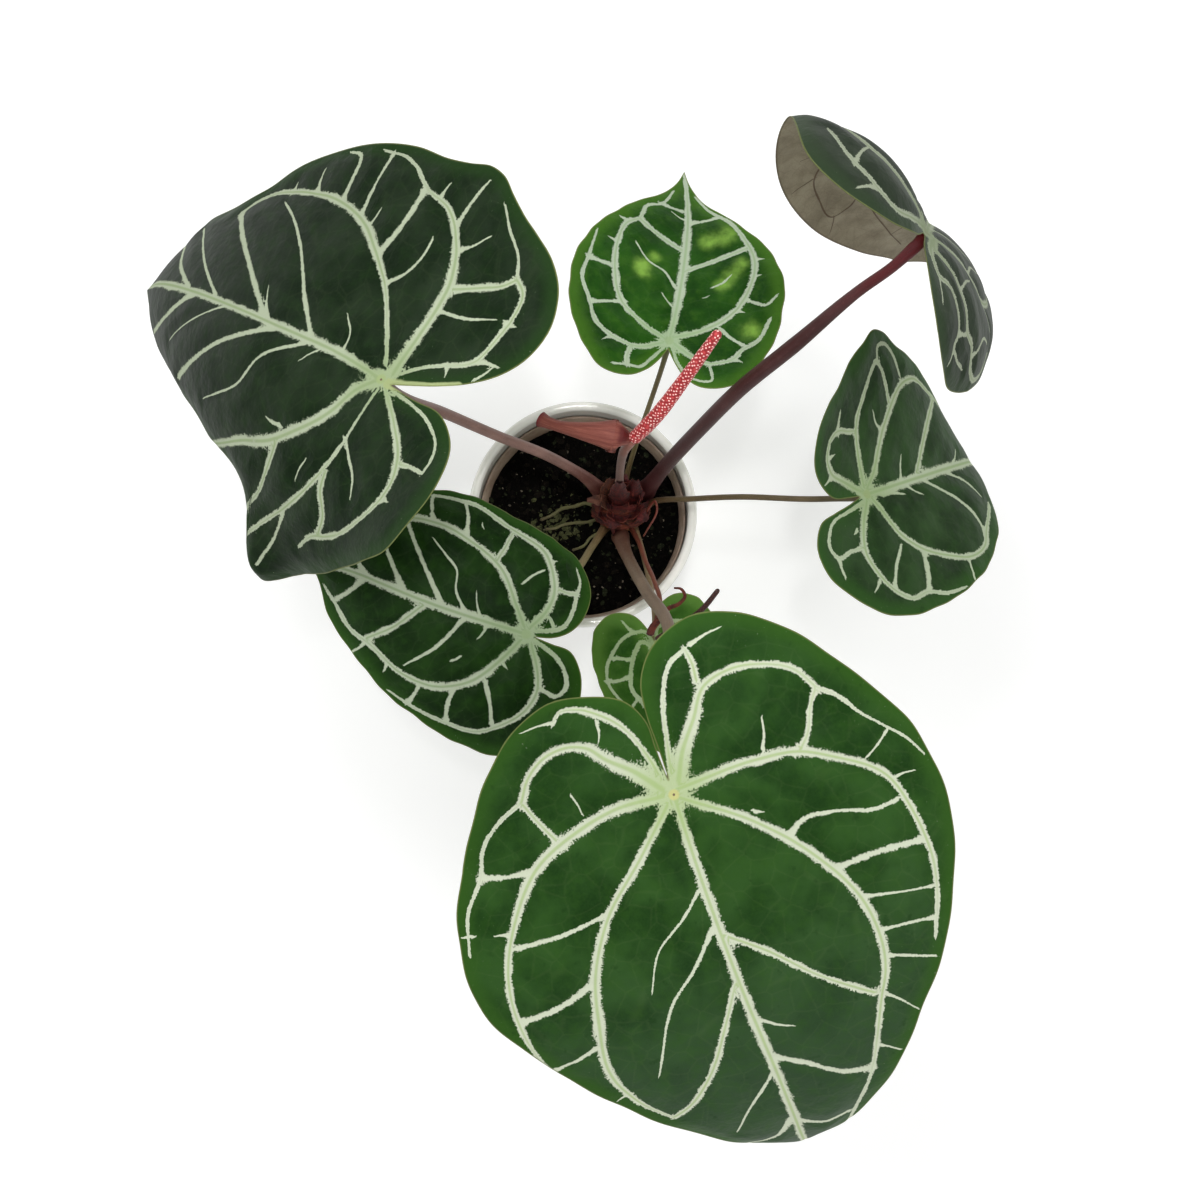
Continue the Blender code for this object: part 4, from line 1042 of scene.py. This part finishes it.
def blade_finish(name, tone, fray=1.9):
    """Velvety upper side of a blade, with frosted veins."""
    panel, deep, margin, tip, vein, line, knob = linear(*TONES[tone].values())
    lit, fold, rind = linear((142, 186, 78), (156, 168, 118), (128, 134, 80))
    finish = Finish(name, Specular_IOR_Level=0.07)
    main_half, side_half, rim = finish.parts("widths")
    s, t, glow = finish.parts("flat_place")
    flat = finish.vector(s, t)
    middle = (s * s + t * t) ** 0.5
    # Where the veins are: side veins widen beside main ones, and a web fills the stalk's joint
    main, main_reach = vein_ratio(finish, "main_vein", main_half, 0.0, fray)
    flare = finish.smooth(main_reach, 6.0, 0.0) * 0.8 + 1.0
    side, side_reach = vein_ratio(finish, "side_vein", side_half * flare, 5.0, fray)
    web = middle / (finish.noise(flat, 0.9, 3.0, 0.7) * 5.0 + main_half * 1.6)
    grain = finish.noise(flat, 2.6, 2.0, 0.7)
    veins = finish.smooth(main.soft_least(side).soft_least(web) + (grain - 0.5) * 0.7, 1.16, 0.84)
    # The green panels
    cloud = finish.noise(flat, 0.03, 3.0, 0.55)
    speck = finish.noise(flat, 0.8, 4.0, 0.7)
    patches = finish.noise(flat, 0.13, 3.0, 0.6)
    net = finish.cells(finish.vector(s + cloud * 9.0, t + speck * 3.0), 0.085, "DISTANCE_TO_EDGE")
    flecks = finish.smooth(speck, 0.66, 0.72) * finish.smooth(patches, 0.46, 0.6)
    color = finish.tint(deep, panel, cloud, 0.35, 0.65)
    color = finish.tint(color, panel, speck, 0.3, 0.7, 0.25)
    color = finish.tint(color, tip, s + cloud * 60.0, 70.0, 190.0, 0.75)
    color = finish.tint(color, line, net, 0.05, 0.0, 0.02)
    color = finish.tint(color, margin, rim + cloud * 8.0, 15.0, 5.0, 0.85)
    color = finish.tint(color, margin, patches, 0.42, 0.72, 0.3)
    color = finish.tint(color, deep, patches, 0.4, 0.25, 0.5)
    color = finish.mix(flecks * finish.smooth(rim, 26.0, 10.0) * 0.55, color, vein)
    # Painted light: yellow-green patches where the blade looks lit from behind
    color = finish.tint(color, lit, glow * (patches * 1.8 + 0.1), 0.1, 1.5, 0.8)
    # The pale veins over them, with a green line along the main ones
    inner = main_reach / main_half
    pale = finish.tint(vein, line, middle, 34.0, 6.0, 0.6)
    pale = finish.mix(finish.smooth(inner, 0.5, 0.08) * 0.7 * finish.smooth(main_half, 0.9, 1.7), pale, line)
    pale = finish.tint(pale, line, grain, 0.6, 0.3, 0.25)
    color = finish.mix(veins * 0.96, color, pale)
    color = finish.tint(color, knob, middle, 3.0, 1.8)
    color = finish.tint(color, fold, glow + patches * 0.6, 0.0, -0.6)
    color = finish.tint(color, rind, rim, 0.8, 0.3, 0.6)
    quilt = finish.smooth(main_reach.least(side_reach * 1.3), 0.0, 11.0)
    height = finish.noise(flat, 0.9, 3.0) * 0.12 + finish.noise(flat, 0.07, 3.0) * 3.5 \
        + quilt * 1.8 - veins * 0.3 + finish.smooth(inner, 0.5, 0.1) * 0.4
    return finish.done(height, 0.5, 0.001, Base_Color=color, Roughness=veins * 0.25 + speck * 0.15 + 0.4)


def underside_finish(name, *shades):
    """Dull underside of a blade, its veins raised."""
    low, high, vein = linear(*shades)
    finish = Finish(name, Roughness=0.62, Specular_IOR_Level=0.25)
    main_half, side_half, rim = finish.parts("widths")
    s, t, _ = finish.parts("flat_place")
    flat = finish.vector(s, t)
    main, _ = vein_ratio(finish, "main_vein", main_half * 0.4, 0.0, 0.3)
    side, _ = vein_ratio(finish, "side_vein", side_half * 0.5, 5.0, 0.3)
    veins = finish.smooth(main.least(side * 1.2), 1.4, 0.6)
    cloud = finish.noise(flat, 0.05, 5.0, 0.65)
    speck = finish.noise(flat, 1.4, 3.0, 0.7)
    webs = finish.cells(flat, 0.12, "DISTANCE_TO_EDGE")
    color = finish.tint(low, high, cloud, 0.3, 0.7)
    color = finish.tint(color, vein, speck, 0.45, 0.75, 0.25)
    color = finish.tint(color, vein, webs, 0.05, 0.0, 0.14)
    color = finish.mix(veins * 0.8, color, vein)
    color = finish.tint(color, vein, rim, 1.2, 0.4, 0.5)
    return finish.done(webs * 0.4 + veins * 1.2 + speck * 0.3 + cloud * 1.5, 0.5, 0.001, Base_Color=color)


def stalk_finish(name, *shades, gloss=0.4):
    """A leaf stalk: colour runs from foot to top, with fine streaks and pale specks."""
    foot, middle, top = linear(*shades)
    dark = tuple(c * 0.45 for c in middle)
    light = tuple(min(1.0, c * 2.2 + 0.03) for c in middle)
    finish = Finish(name, Specular_IOR_Level=0.4)
    along, share, angle = finish.parts("stalk_place")
    place = finish.place()
    streak = finish.noise(finish.vector(along * 0.12, angle * 2.5), 1.0, 4.0, 0.7)
    shade = finish.noise(place, 60.0, 3.0)
    color = finish.tint(foot, middle, share, 0.02, 0.3)
    color = finish.tint(color, top, share, 0.72, 1.0)
    color = finish.tint(color, dark, streak, 0.45, 0.8, 0.5)
    color = finish.tint(color, light, finish.cells(place, 900.0), 0.22, 0.1, 0.45)
    color = finish.tint(color, light, shade, 0.4, 0.8, 0.3)
    return finish.done(streak + finish.noise(place, 1400.0, 3.0) * 0.4, 0.4, 0.0005,
                       Base_Color=color, Roughness=shade * 0.25 + gloss - 0.1)


def glaze_finish():
    """White glaze with a faint warm cloud."""
    warm, white, dust = linear((249, 247, 240), (253, 251, 246), (206, 202, 194))
    finish = Finish("white_glaze", Specular_IOR_Level=0.5, Coat_Weight=0.35, Coat_Roughness=0.06)
    place = finish.place()
    cloud = finish.noise(place, 9.0, 4.0, 0.6)
    color = finish.tint(warm, white, cloud, 0.3, 0.7)
    color = finish.tint(color, dust, finish.noise(place, 420.0), 0.68, 0.8, 0.12)
    return finish.done(finish.noise(place, 30.0, 3.0), 0.1, 0.0006,
                       Base_Color=color, Roughness=cloud * 0.1 + 0.17)


def plastic_finish():
    """Dusty taupe plastic."""
    finish = Finish("taupe_plastic", Specular_IOR_Level=0.4)
    place = finish.place()
    dust = finish.noise(place, 70.0, 4.0, 0.7)
    color = finish.tint(*linear((138, 118, 102), (160, 142, 126)), dust, 0.35, 0.7)
    return finish.done(finish.noise(place, 500.0, 3.0), 0.25, 0.0004,
                       Base_Color=color, Roughness=dust * 0.3 + 0.35)


def mixed_finish(name, *shades, scale, depth=0.0012):
    """A rough natural stuff in three shades."""
    low, middle, high = linear(*shades)
    finish = Finish(name, Specular_IOR_Level=0.05)
    place = finish.place()
    cloud = finish.noise(place, scale, 5.0, 0.65)
    fine = finish.noise(place, scale * 9, 4.0, 0.7)
    color = finish.tint(low, middle, cloud, 0.3, 0.6)
    color = finish.tint(color, high, fine, 0.5, 0.75, 0.6)
    return finish.done(cloud + fine * 0.5, 0.6, depth, Base_Color=color, Roughness=fine * 0.3 + 0.7)


def scale_finish(name, *shades, bract=False):
    """A dry, papery sheet with fibres along it and patches of painted shade, or a fresh bract with painted
    shade in its mouth.
    """
    dark, middle, light, painted_mouth_shade, tip = linear(*shades, (84, 24, 22), (94, 26, 30))
    finish = Finish(name, Specular_IOR_Level=0.3)
    along, share, across = finish.parts("stalk_place")
    place = finish.place()
    fibre = finish.noise(finish.vector(along * 0.05, across * 9.0), 1.0, 5.0, 0.7)
    cloud = finish.noise(place, 120.0, 3.0)
    color = finish.tint(dark, middle, fibre, 0.35, 0.62)
    color = finish.tint(color, light, fibre + cloud * 0.4, 0.72, 0.95, 0.8)
    if not bract:
        # Painted shade: darker patches that stand in for the shadowed hollows between the fibres and folds
        painted_hollow_shade = linear([0.55 * level for level in shades[0]])[0]
        color = finish.tint(color, painted_hollow_shade, finish.noise(place, 260.0, 4.0, 0.65), 0.44, 0.6, 0.75)
        # Paler along both rims: the dry torn edge's own colour together with a painted highlight
        color = finish.tint(color, light, across * across + fibre * 0.2, 0.98, 1.08, 0.6)
    color = finish.tint(color, dark, share, 0.8, 1.0, 0.4)
    if bract:
        # Painted shade: a dark patch in the hollow of the rolled mouth, near the foot of the bract
        mouth_shade_mask = finish.smooth(share, 0.15, 0.1) * finish.smooth(share, 0.02, 0.05)
        color = finish.mix(mouth_shade_mask * finish.smooth(across * across, 0.12, 0.03), color, painted_mouth_shade)
        color = finish.tint(color, tip, share, 0.94, 1.0)
    return finish.done(fibre, 0.7, 0.0008, Base_Color=color, Roughness=cloud * 0.3 + 0.42)


def spike_finish(name, *shades):
    """A spike of tiny tight flowers, each with a pale stigma."""
    body, dark, dot = linear(*shades)
    finish = Finish(name, Specular_IOR_Level=0.4)
    gap, shade, _ = finish.parts("floret")
    cloud = finish.noise(finish.place(), 200.0, 3.0)
    # Painted shade: darker toward each floret's edge, between the florets; the next tint darkens some
    # florets at random
    color = finish.tint(body, dark, gap, 0.25, 0.62)
    color = finish.tint(color, dark, shade, 0.2, 0.9, 0.3)
    color = finish.mix(finish.smooth(gap, 0.27, 0.17) * finish.smooth(shade, 0.12, 0.22), color, dot)
    return finish.done(cloud, 0.2, 0.0003, Base_Color=color, Roughness=cloud * 0.2 + 0.35)


# The pots and the soil
def arc(center, radius, start, stop, count):
    """Points of a rounded edge in a profile of (radius, height) points."""
    return [(center[0] + radius * cos(a), center[1] + radius * sin(a))
            for a in np.linspace(start, stop, count)]


def wall(low, high, heights):
    """Points of a straight wall at some heights; low and high are its (radius, height) ends."""
    return [(np.interp(z, [low[1], high[1]], [low[0], high[0]]), z) for z in heights]


def build_pots():
    """The white cover pot and the taupe nursery pot inside it."""
    glaze, plastic = glaze_finish(), plastic_finish()
    lip = 2.6
    foot = 1.8
    inner = POT_BASE_RADIUS - POT_WALL
    profile = [(0, POT_WALL), (inner - 1.5, POT_WALL), (inner, POT_WALL + 0.6), (inner + 1.5, POT_WALL + 2),
               *wall((inner + 1.5, 6), (POT_RADIUS - 5.5, 90), np.linspace(7, 90, 10)),
               (POT_RADIUS - 4.9, POT_HEIGHT - 8),
               *arc((POT_RADIUS - lip, POT_HEIGHT - lip), lip, pi, 0, 13),
               *wall((POT_BASE_RADIUS + 0.6, 3), (POT_RADIUS - 1, 100), np.linspace(100, 3, 12)),
               *arc((POT_BASE_RADIUS - 1.2, foot), foot, 0, -pi / 2, 6), (0, 0)]
    settle(turned("cover_pot_glazed", profile[::-1], 144, glaze), "white_glaze", "cover_pot")
    floor = POT_WALL + GAP
    side = NURSERY_RIM_RADIUS - 2.0
    rim = 0.75
    base = NURSERY_BASE_RADIUS - NURSERY_WALL
    profile = [(0, floor + NURSERY_WALL), (base, floor + NURSERY_WALL),
               *wall((base, 5), (side, 98), np.linspace(10, 98, 8)),
               *arc((NURSERY_RIM_RADIUS - rim, NURSERY_HEIGHT - rim), rim, pi, 0, 9),
               (NURSERY_RIM_RADIUS, NURSERY_HEIGHT - 5), (side + NURSERY_WALL, NURSERY_HEIGHT - 6),
               (NURSERY_BASE_RADIUS, floor), (0, floor)]
    settle(turned("nursery_pot_rimmed", profile[::-1], 120, plastic), "taupe_plastic", "nursery_pot")


def soil_height(x, y):
    """Height of the potting mix: a low, uneven mound."""
    bumps = (np.sin(x * 0.31 + 1.1 * np.sin(y * 0.23)) * np.cos(y * 0.27 + 0.6)
             + 0.5 * np.sin(x * 0.83 + 2.0) * np.sin(y * 0.77 + 1.0))
    return SOIL_TOP - 0.4 + 0.9 * bumps - 3.0 * np.clip((np.hypot(x, y) - 44) / 11, 0, 1)


def build_soil():
    """The potting mix, its bark, grit and moss, and the roots that lie on it."""
    peat = mixed_finish("dark_peat", (1, 1, 1), (6, 5, 4), (26, 22, 18), scale=130.0, depth=0.002)
    bark = mixed_finish("bark_chips", (7, 6, 5), (19, 16, 13), (56, 48, 38), scale=90.0)
    crumbs = mixed_finish("dark_crumbs", (3, 2, 2), (10, 8, 7), (40, 34, 28), scale=150.0)
    moss = mixed_finish("grey_moss", (14, 16, 11), (34, 38, 25), (84, 88, 64), scale=140.0)
    grit = mixed_finish("pale_grit", (66, 60, 52), (112, 104, 92), (160, 152, 138), scale=160.0)
    low = POT_WALL + 2 * GAP + NURSERY_WALL
    surface = [(0, SOIL_TOP), *((r, SOIL_TOP) for r in np.linspace(1.5, SOIL_RADIUS, 36))]
    profile = [(0, low), (NURSERY_BASE_RADIUS - NURSERY_WALL - 0.6, low), (SOIL_RADIUS, SOIL_TOP - 5),
               *surface[::-1]]

    def uneven(angle, r, z):
        if z < SOIL_TOP:
            return 0.0, 0.0
        return 0.0, float(soil_height(r * cos(angle), r * sin(angle))) - z

    settle(turned("soil_mound", profile, 150, peat, rough=uneven), "potting_mix", "soil")
    chance = np.random.default_rng(7)
    for name, finish, count, small, large in (("soil_crumbs", crumbs, 1500, 0.5, 2.2),
                                              ("soil_bark", bark, 330, 0.7, 3.2),
                                              ("soil_moss", moss, 330, 0.5, 2.2),
                                              ("soil_grit", grit, 130, 0.4, 1.3)):
        radius = (SOIL_RADIUS - 1) * np.sqrt(chance.random(count))
        angle = chance.random(count) * tau
        x, y = radius * np.cos(angle), radius * np.sin(angle)
        size = small + (large - small) * chance.random(count) ** 2.5
        spots = np.column_stack([x, y, soil_height(x, y) + size * 0.15, size])
        settle(chips(name, spots, finish, len(name)), "potting_mix")
    litter = mixed_finish("olive_litter", (30, 31, 20), (72, 74, 48), (136, 136, 98), scale=260.0)
    x, y = (chance.normal(0, 1, (170, 2)) * (9.0, 6.0) + (-14.0, -3.0)).T
    size = 0.3 + 2.0 * chance.random(170) ** 2
    spots = np.column_stack([x, y, soil_height(x, y) + 0.4 * size, size])
    settle(chips("soil_litter", spots, litter, 3, 0.3), "potting_mix")
    skin = stalk_finish("root_skin", (104, 98, 66), (96, 92, 58), (84, 74, 50), gloss=0.6)
    for name, radius, route in (
            ("root_1", 1.1, [(10.4, 4.5), (2, 8.6), (-5, 6.8), (-12, 5.4), (-17, 2.0), (-24, -1)]),
            ("root_2", 0.9, [(10.6, 0.6), (3, -1.9), (-4, -2.4), (-11, -3.6), (-16, -5.6), (-21, -6)]),
            ("root_3", 0.9, [(12.2, -3.6), (8, -8.4), (4, -11), (1, -15), (-6, -18)])):
        row = smooth_row([(x, y, SOIL_TOP + GAP + radius) for x, y in route], 60)
        steps = np.arange(len(row))
        wobble = 1 + 0.14 * np.sin(steps * 0.9) * np.sin(steps * 0.37 + len(route))
        radii = rounded(np.linspace(radius, 0.8 * radius, len(row)) * wobble, row, 1.0)
        settle(sweep(name + "_wavy", row, radii, 14, skin), "root_tan", name)


# The plant
def dry_strip(name, route, count, widths, curls, ups, finish, seed, *nodes, **shape):
    """One dry strip of the crown."""
    piece = ribbon(name, smooth_row(route, count), widths, curls, ups, finish, seed=seed, **shape)
    settle(piece, "dry_scale", *nodes)


def build_crown():
    """The stem's top, its fibrous rags and its dry scale leaves."""
    rag = scale_finish("crown_fibre", (54, 22, 15), (112, 58, 38), (170, 116, 78))
    dry = scale_finish("dry_scale", (44, 9, 10), (100, 28, 26), (150, 78, 64))
    tan = scale_finish("tan_sheath", (84, 46, 36), (124, 78, 62), (158, 114, 92))
    wrap = scale_finish("crown_wrap", (34, 9, 7), (122, 52, 34), (196, 122, 84))
    middle = np.array(CROWN)
    up = np.array((0.0, 0.0, 1.0))
    floor = SOIL_TOP + GAP
    profile = [(0, floor), (CROWN_RADIUS + 0.5, floor),
               *[(CROWN_RADIUS, z) for z in np.linspace(SOIL_TOP + 3, CROWN_TOP - 6, 14)],
               (CROWN_RADIUS - 1, CROWN_TOP - 2), (CROWN_RADIUS - 4, CROWN_TOP), (0, CROWN_TOP)]

    def rings(angle, r, z):
        if r <= 5:
            return 0.0, 0.0
        return 0.5 * sin(z * 1.6 + sin(angle * 3)) + 0.3 * sin(angle * 9 + z) - 0.5, 0.0

    stem = turned("crown_stem_ringed", profile, 60, rag, (CROWN.x, CROWN.y), rings)
    give_vectors(stem, "stalk_place",
                 [(v.co.z * 1000, 0.3, v.co.x * 160 + v.co.z * 200) for v in stem.data.vertices])
    settle(stem, "dry_scale", "crown_stem")
    for order, (name, (azimuth, reach, height, width)) in enumerate(CATAPHYLLS.items()):
        out = outward(radians(azimuth))
        route = [middle + out * r + (0, 0, z) for r, z in (
            (7.0, CROWN_TOP + 0.6), (8.5, CROWN_TOP + 7), (0.5 * reach + 5, height), (reach, height - 1))]
        dry_strip(name + "_papery", route, 44, (0.6 * width, width, width, 0.8 * width, 0.3 * width),
                  (70, 60, 40, 80), (out, out + up, up), tan if name == "cataphyll_3" else dry, order, name,
                  columns=16, ragged=0.22)
    for order in range(13):
        out = outward(2.4 * order + 0.6)
        side = np.cross(up, out)
        foot = middle + out * (1.0 + 0.95 * order) + CROWN_TOP * up
        near = min(out[1], 0)
        route = [foot - 5 * up, foot + out * 1.5 + up,
                 foot + out * 3.0 + side * 1.2 + (7 - 0.2 * order + 3 * near) * up,
                 foot + out * 4.2 + side * 2.5 + (12 - 0.4 * order + 5 * near) * up]
        dry_strip("crown_scale_%d" % (order + 1), route, 30, (10, 13, 12.5, 9.5, 3.5), (100, 80, 65, 90),
                  (out, out, out + 0.6 * up), rag if order % 4 == 3 else dry, order + 70, ragged=0.35)
    for order, (finish, widths, route) in enumerate((
            (dry, (13, 15, 12, 9, 4),
             [(20.6, 0.4, 112), (20.2, 1.6, 136), (19.6, 2.2, 160), (19.8, 3.4, 186)]),
            (dry, (10, 13, 13, 10, 4), [(26, 1, 112), (27.5, 3.4, 130), (27.6, 7, 146), (28.4, 10, 156)]),
            (rag, (8, 11, 10, 8, 3), [(15, 3, 112), (14, 6, 128), (14.6, 9, 142), (16, 12, 150)]))):
        dry_strip("crown_sheath_%d" % (order + 1), route, 60, widths, (140, 130, 120, 150),
                  ((0, -1, 0.3), (0, -0.8, 0.6), (0, -0.4, 1)), finish, order + 110, columns=16, ragged=0.3)
    chance = np.random.default_rng(21)
    for order in range(8):
        low, top = 1.1 * order, CROWN_TOP + 8.5 - 0.9 * order
        bow = chance.uniform(-0.8, 0.8, 5)
        route = [middle + (x, y + sag, z) for x, y, z, sag in (
            (-16.5, 0.5 - 0.5 * low, top - 9, bow[0]), (-9.0, -1.4 - low, top - 1.5, bow[1]),
            (1.0, -2.2 - 1.1 * low, top, bow[2]), (9.5, -1.0 - low, top - 1.5, bow[3]),
            (15.5, 3.0 - 0.6 * low, top - 8, bow[4]))]
        dry_strip("crown_wrap_%d" % (order + 1), route, 40, (1.2, 3.4, 4.2, 3.6, 1.0), (70, 50, 40, 60),
                  ((0, -0.3, 1), (0, -0.4, 1)), wrap if order % 3 else dry, order + 90,
                  columns=10, ragged=0.45)
    for order in range(14):
        out = outward(tau * order / 14 + chance.uniform(-0.2, 0.2))
        low = middle + out * 10.4 + (0, 0, chance.uniform(94, 112))
        sway = np.cross(up, out) * chance.uniform(-5, 5)
        route = [low, low + out * 1.2 + sway * 0.4 + 6 * up, low + out * 2.0 + sway + 12 * up]
        dry_strip("crown_rag_%d" % (order + 1), route, 18, (4, 5, 3, 0.3), (60, 50, 20), (out, out),
                  rag if order % 2 else dry, order + 40, thick=0.3, columns=8, ragged=0.5)


def build_leaves():
    """The seven blades, with finer grids on the larger ones."""
    brown = underside_finish("underside_brown", (130, 121, 100), (164, 155, 132), (88, 66, 50))
    green = underside_finish("underside_green", (90, 106, 72), (124, 138, 98), (150, 160, 116))
    upper = {tone: blade_finish("blade_" + tone, tone) for tone in TONES}
    for name, leaf in LEAVES.items():
        detail = BLADE_DETAIL.get(name, COMMON_DETAIL)
        back = brown if name == "leaf_hanging" else green
        settle(make_blade(name.replace("leaf", "blade"), leaf, [upper[leaf["tone"]], back], detail),
               "leaf_green", name)


def build_stalks():
    """The seven leaf stalks, wider at the foot and just below the blade."""
    for name, stalk in STALKS.items():
        row = stalk_row(LEAVES[name], stalk, 150)
        foot, middle, top = stalk[2]
        flare = 1 + 0.28 * np.exp(-np.linspace(0, 1, len(row)) * 22)
        radii = spread((foot, middle, middle, middle, middle, 1.1 * top, top), len(row)) * flare
        radii = radii * (1 + 0.22 * bell(np.linalg.norm(row - row[-1], axis=1) - 9, 7))
        node = name.replace("leaf", "petiole")
        settle(sweep(node + "_fine", row, rounded(radii, row), 28,
                     stalk_finish("skin_" + name[5:], *SKINS[name]),
                     lambda place, angles: 1 - 0.07 * bell(angles - pi, 0.6)), "stalk_taupe", node)


def bare_stalk(node, row, radii, sides, slot, skin, shades, cap=0.7):
    """A stalk without a leaf: its radii are spread along its row."""
    piece = sweep(node + "_fine", row, rounded(spread(radii, len(row)), row, cap), sides,
                  stalk_finish(skin, *shades))
    settle(piece, slot, node)


def build_flowers():
    """The flower and the spent flower: stalk, bract and spike of each, and a dry strand."""
    up = (0, 0, 1)
    row = smooth_row([(19.6, 5.5, CROWN_TOP + GAP), (19.7, 6.2, 160), (19.8, 6.6, 205),
                      (20.6, 5.6, 250), (22.6, 3.6, 284), (24.8, 5.0, 291.6)], 110)
    bare_stalk("peduncle", row, (2.8, 2.3, 2.1, 2.1, 2.2, 2.3), 24, "stalk_taupe", "skin_peduncle",
               ((92, 56, 48), (116, 90, 83), (136, 84, 72)))
    horn = scale_finish("spathe_stripes", (104, 50, 42), (128, 70, 58), (148, 90, 74), bract=True)
    axis = smooth_row([(24.2, 5.6, 289), (20.5, 6.2, 290), (16.9, 6.8, 290), (8.7, 8.1, 290),
                       (-0.4, 10.2, 287.5), (-9.7, 13.2, 283), (-16, 16.2, 279), (-19.3, 18.2, 277)], 120)
    radius = spread((3.0, 6.4, 7.8, 7.0, 6.0, 5.2, 4.4, 3.7, 3.1, 2.6, 2.4, 2.6, 3.3), len(axis))
    crest = axis + np.array((0.0, 0.0, 1.0)) * radius[:, None]
    settle(ribbon("spathe_rolled", crest, radius * radians(250), (250, 262, 270, 268, 235), (up, up), horn,
                  thick=0.7, columns=56), "salmon_bract", "spathe")
    coral = spike_finish("coral_florets", (196, 60, 62), (142, 32, 36), (255, 236, 230))
    settle(make_spike("spadix_florets",
                      [(24.6, 4.8, 291), (35, 12, 310), (48.5, 25.4, 335), (61.6, 39.6, 358.4)],
                      (2.9, 3.3, 3.3, 3.1, 2.8, 2.5, 2.1), coral, 1.6), "coral_spike", "spadix")
    bend = (30.5, -19, 131)
    row = smooth_row([stem_side(-66, 116, 1.4, bend), bend, (33.5, -31.5, 150), (38.3, -45.7, 165),
                      (40.7, -55.5, 172), (39, -65, 178), (36, -75, 181.5)], 110)
    bare_stalk("old_peduncle", row, (1.5, 1.3, 1.2, 1.2, 1.2, 1.2), 20, "salmon_bract", "skin_old_peduncle",
               ((92, 44, 34), (116, 64, 48), (92, 34, 24)))
    strap = scale_finish("old_bract", (58, 16, 14), (122, 52, 36), (158, 92, 64))
    row = smooth_row([(34.6, -75.2, 183.6), (35.6, -72.6, 186.3), (39.7, -67.7, 189), (44.2, -62.4, 191),
                      (50.3, -59.5, 192), (52.8, -56.1, 193), (50.8, -52.6, 194), (47.2, -52.2, 195)], 80)
    settle(ribbon("old_spathe_curled", row, (3, 3.8, 3.2, 2.4, 1.9, 1.5, 0.8), (70, 40, 60, 90),
                  (up, (-0.3, 0.3, 1), up), strap, 0.5, 18, 0.1, 5), "salmon_bract", "old_spathe")
    maroon = spike_finish("old_florets", (66, 28, 26), (26, 10, 10), (104, 58, 48))
    settle(make_spike("old_spadix_florets",
                      [(37.9, -77.2, 182.6), (48, -72, 188), (61, -63.5, 195), (69.7, -53.4, 200)],
                      (1.2, 1.5, 1.5, 1.4, 1.35, 1.2), maroon, 0.9), "coral_spike", "old_spadix")
    bend = (35, -1, 124)
    row = smooth_row([stem_side(-20, 117, 0.4, bend), bend, (37.6, 2.2, 130), (39.3, 3.0, 133),
                      (40.4, -1.5, 134), (39.0, -6.0, 132.5), (36.2, -10.5, 131), (33.0, -15.6, 128)], 90)
    bare_stalk("dried_strand", row, (0.8, 0.8, 0.7, 0.6, 0.5, 0.4), 12, "salmon_bract", "skin_strand",
               ((72, 28, 22), (112, 50, 38), (110, 58, 42)), 1.0)


# The room, its lights and the camera, in metres
def build_floor():
    """A pale floor that brightens far out, where it meets the white surround."""
    finish = Finish("studio_floor", Roughness=0.9, Specular_IOR_Level=0.1, Emission_Strength=1.0)
    place = finish.place()
    reach = finish.node("ShaderNodeVectorMath", [place], output="Value", operation="LENGTH")
    seen = finish.node("ShaderNodeLightPath", output="Is Camera Ray")
    finish.done(Base_Color=finish.mix(finish.noise(place, 3.0, 3.0), (0.87, 0.87, 0.87), (0.89, 0.89, 0.89)),
                Emission_Color=seen * (finish.smooth(reach, 0.9, 2.5) * 0.8 + 0.25))
    far = 20.0 / MM
    corners = [(-far, -far, 0), (far, -far, 0), (far, far, 0), (-far, far, 0)]
    new_piece("studio_floor", corners, [[0, 1, 2, 3]], [finish.material])


def build_surround(to_room=0.76, to_camera=0.24):
    """A white world, brighter by a part where the camera sees it straight."""
    world = bpy.data.worlds.new("studio")
    bpy.context.scene.world = world
    world.use_nodes = True
    tree = world.node_tree
    back = tree.nodes["Background"]
    back.inputs["Color"].default_value = (1.0, 1.0, 1.0, 1.0)
    rays = tree.nodes.new("ShaderNodeLightPath")
    level = tree.nodes.new("ShaderNodeMath")
    level.operation = "MULTIPLY_ADD"
    level.inputs[1].default_value = to_camera
    level.inputs[2].default_value = to_room
    tree.links.new(rays.outputs["Is Camera Ray"], level.inputs[0])
    tree.links.new(level.outputs[0], back.inputs["Strength"])


def build_lights():
    """Two wide lamps and a narrow one that brings out the pot and the soil."""
    aim = Vector((0, 0, 0.15))
    for name, place, size, power in (("key", (-0.8, 0.8, 2.2), 1.2, 17.0),
                                     ("fill", (1.1, -0.6, 2.0), 1.4, 8.0)):
        light = bpy.data.lights.new(name, "AREA")
        light.size = size
        light.energy = power
        lamp = add_object(name, light)
        lamp.location = place
        lamp.rotation_euler = (aim - Vector(place)).to_track_quat("-Z", "Y").to_euler()
    spot = bpy.data.lights.new("pot_glow", "SPOT")
    spot.energy = 58.0
    spot.spot_size = radians(7.5)
    spot.spot_blend = 0.5
    spot.shadow_soft_size = 0.12
    add_object("pot_glow", spot).location = (0.0, 0.02, 1.6)


def build_camera():
    """Almost straight above, tipped a little to the back."""
    camera = bpy.data.cameras.new("overhead")
    camera.lens = 63.0
    camera.sensor_width = 36.0
    camera.clip_end = 20.0
    eye = add_object("overhead", camera)
    eye.location = (0.0096, -0.1882, 1.2525)
    eye.rotation_euler = (radians(7.0), 0.0, 0.0)
    bpy.context.scene.camera = eye
    bpy.context.scene.view_settings.view_transform = "Standard"


for piece in bpy.context.selected_objects:
    piece.select_set(False)
build_pots()
build_soil()
build_crown()
build_leaves()
build_stalks()
build_flowers()
build_floor()
build_surround()
build_lights()
build_camera()
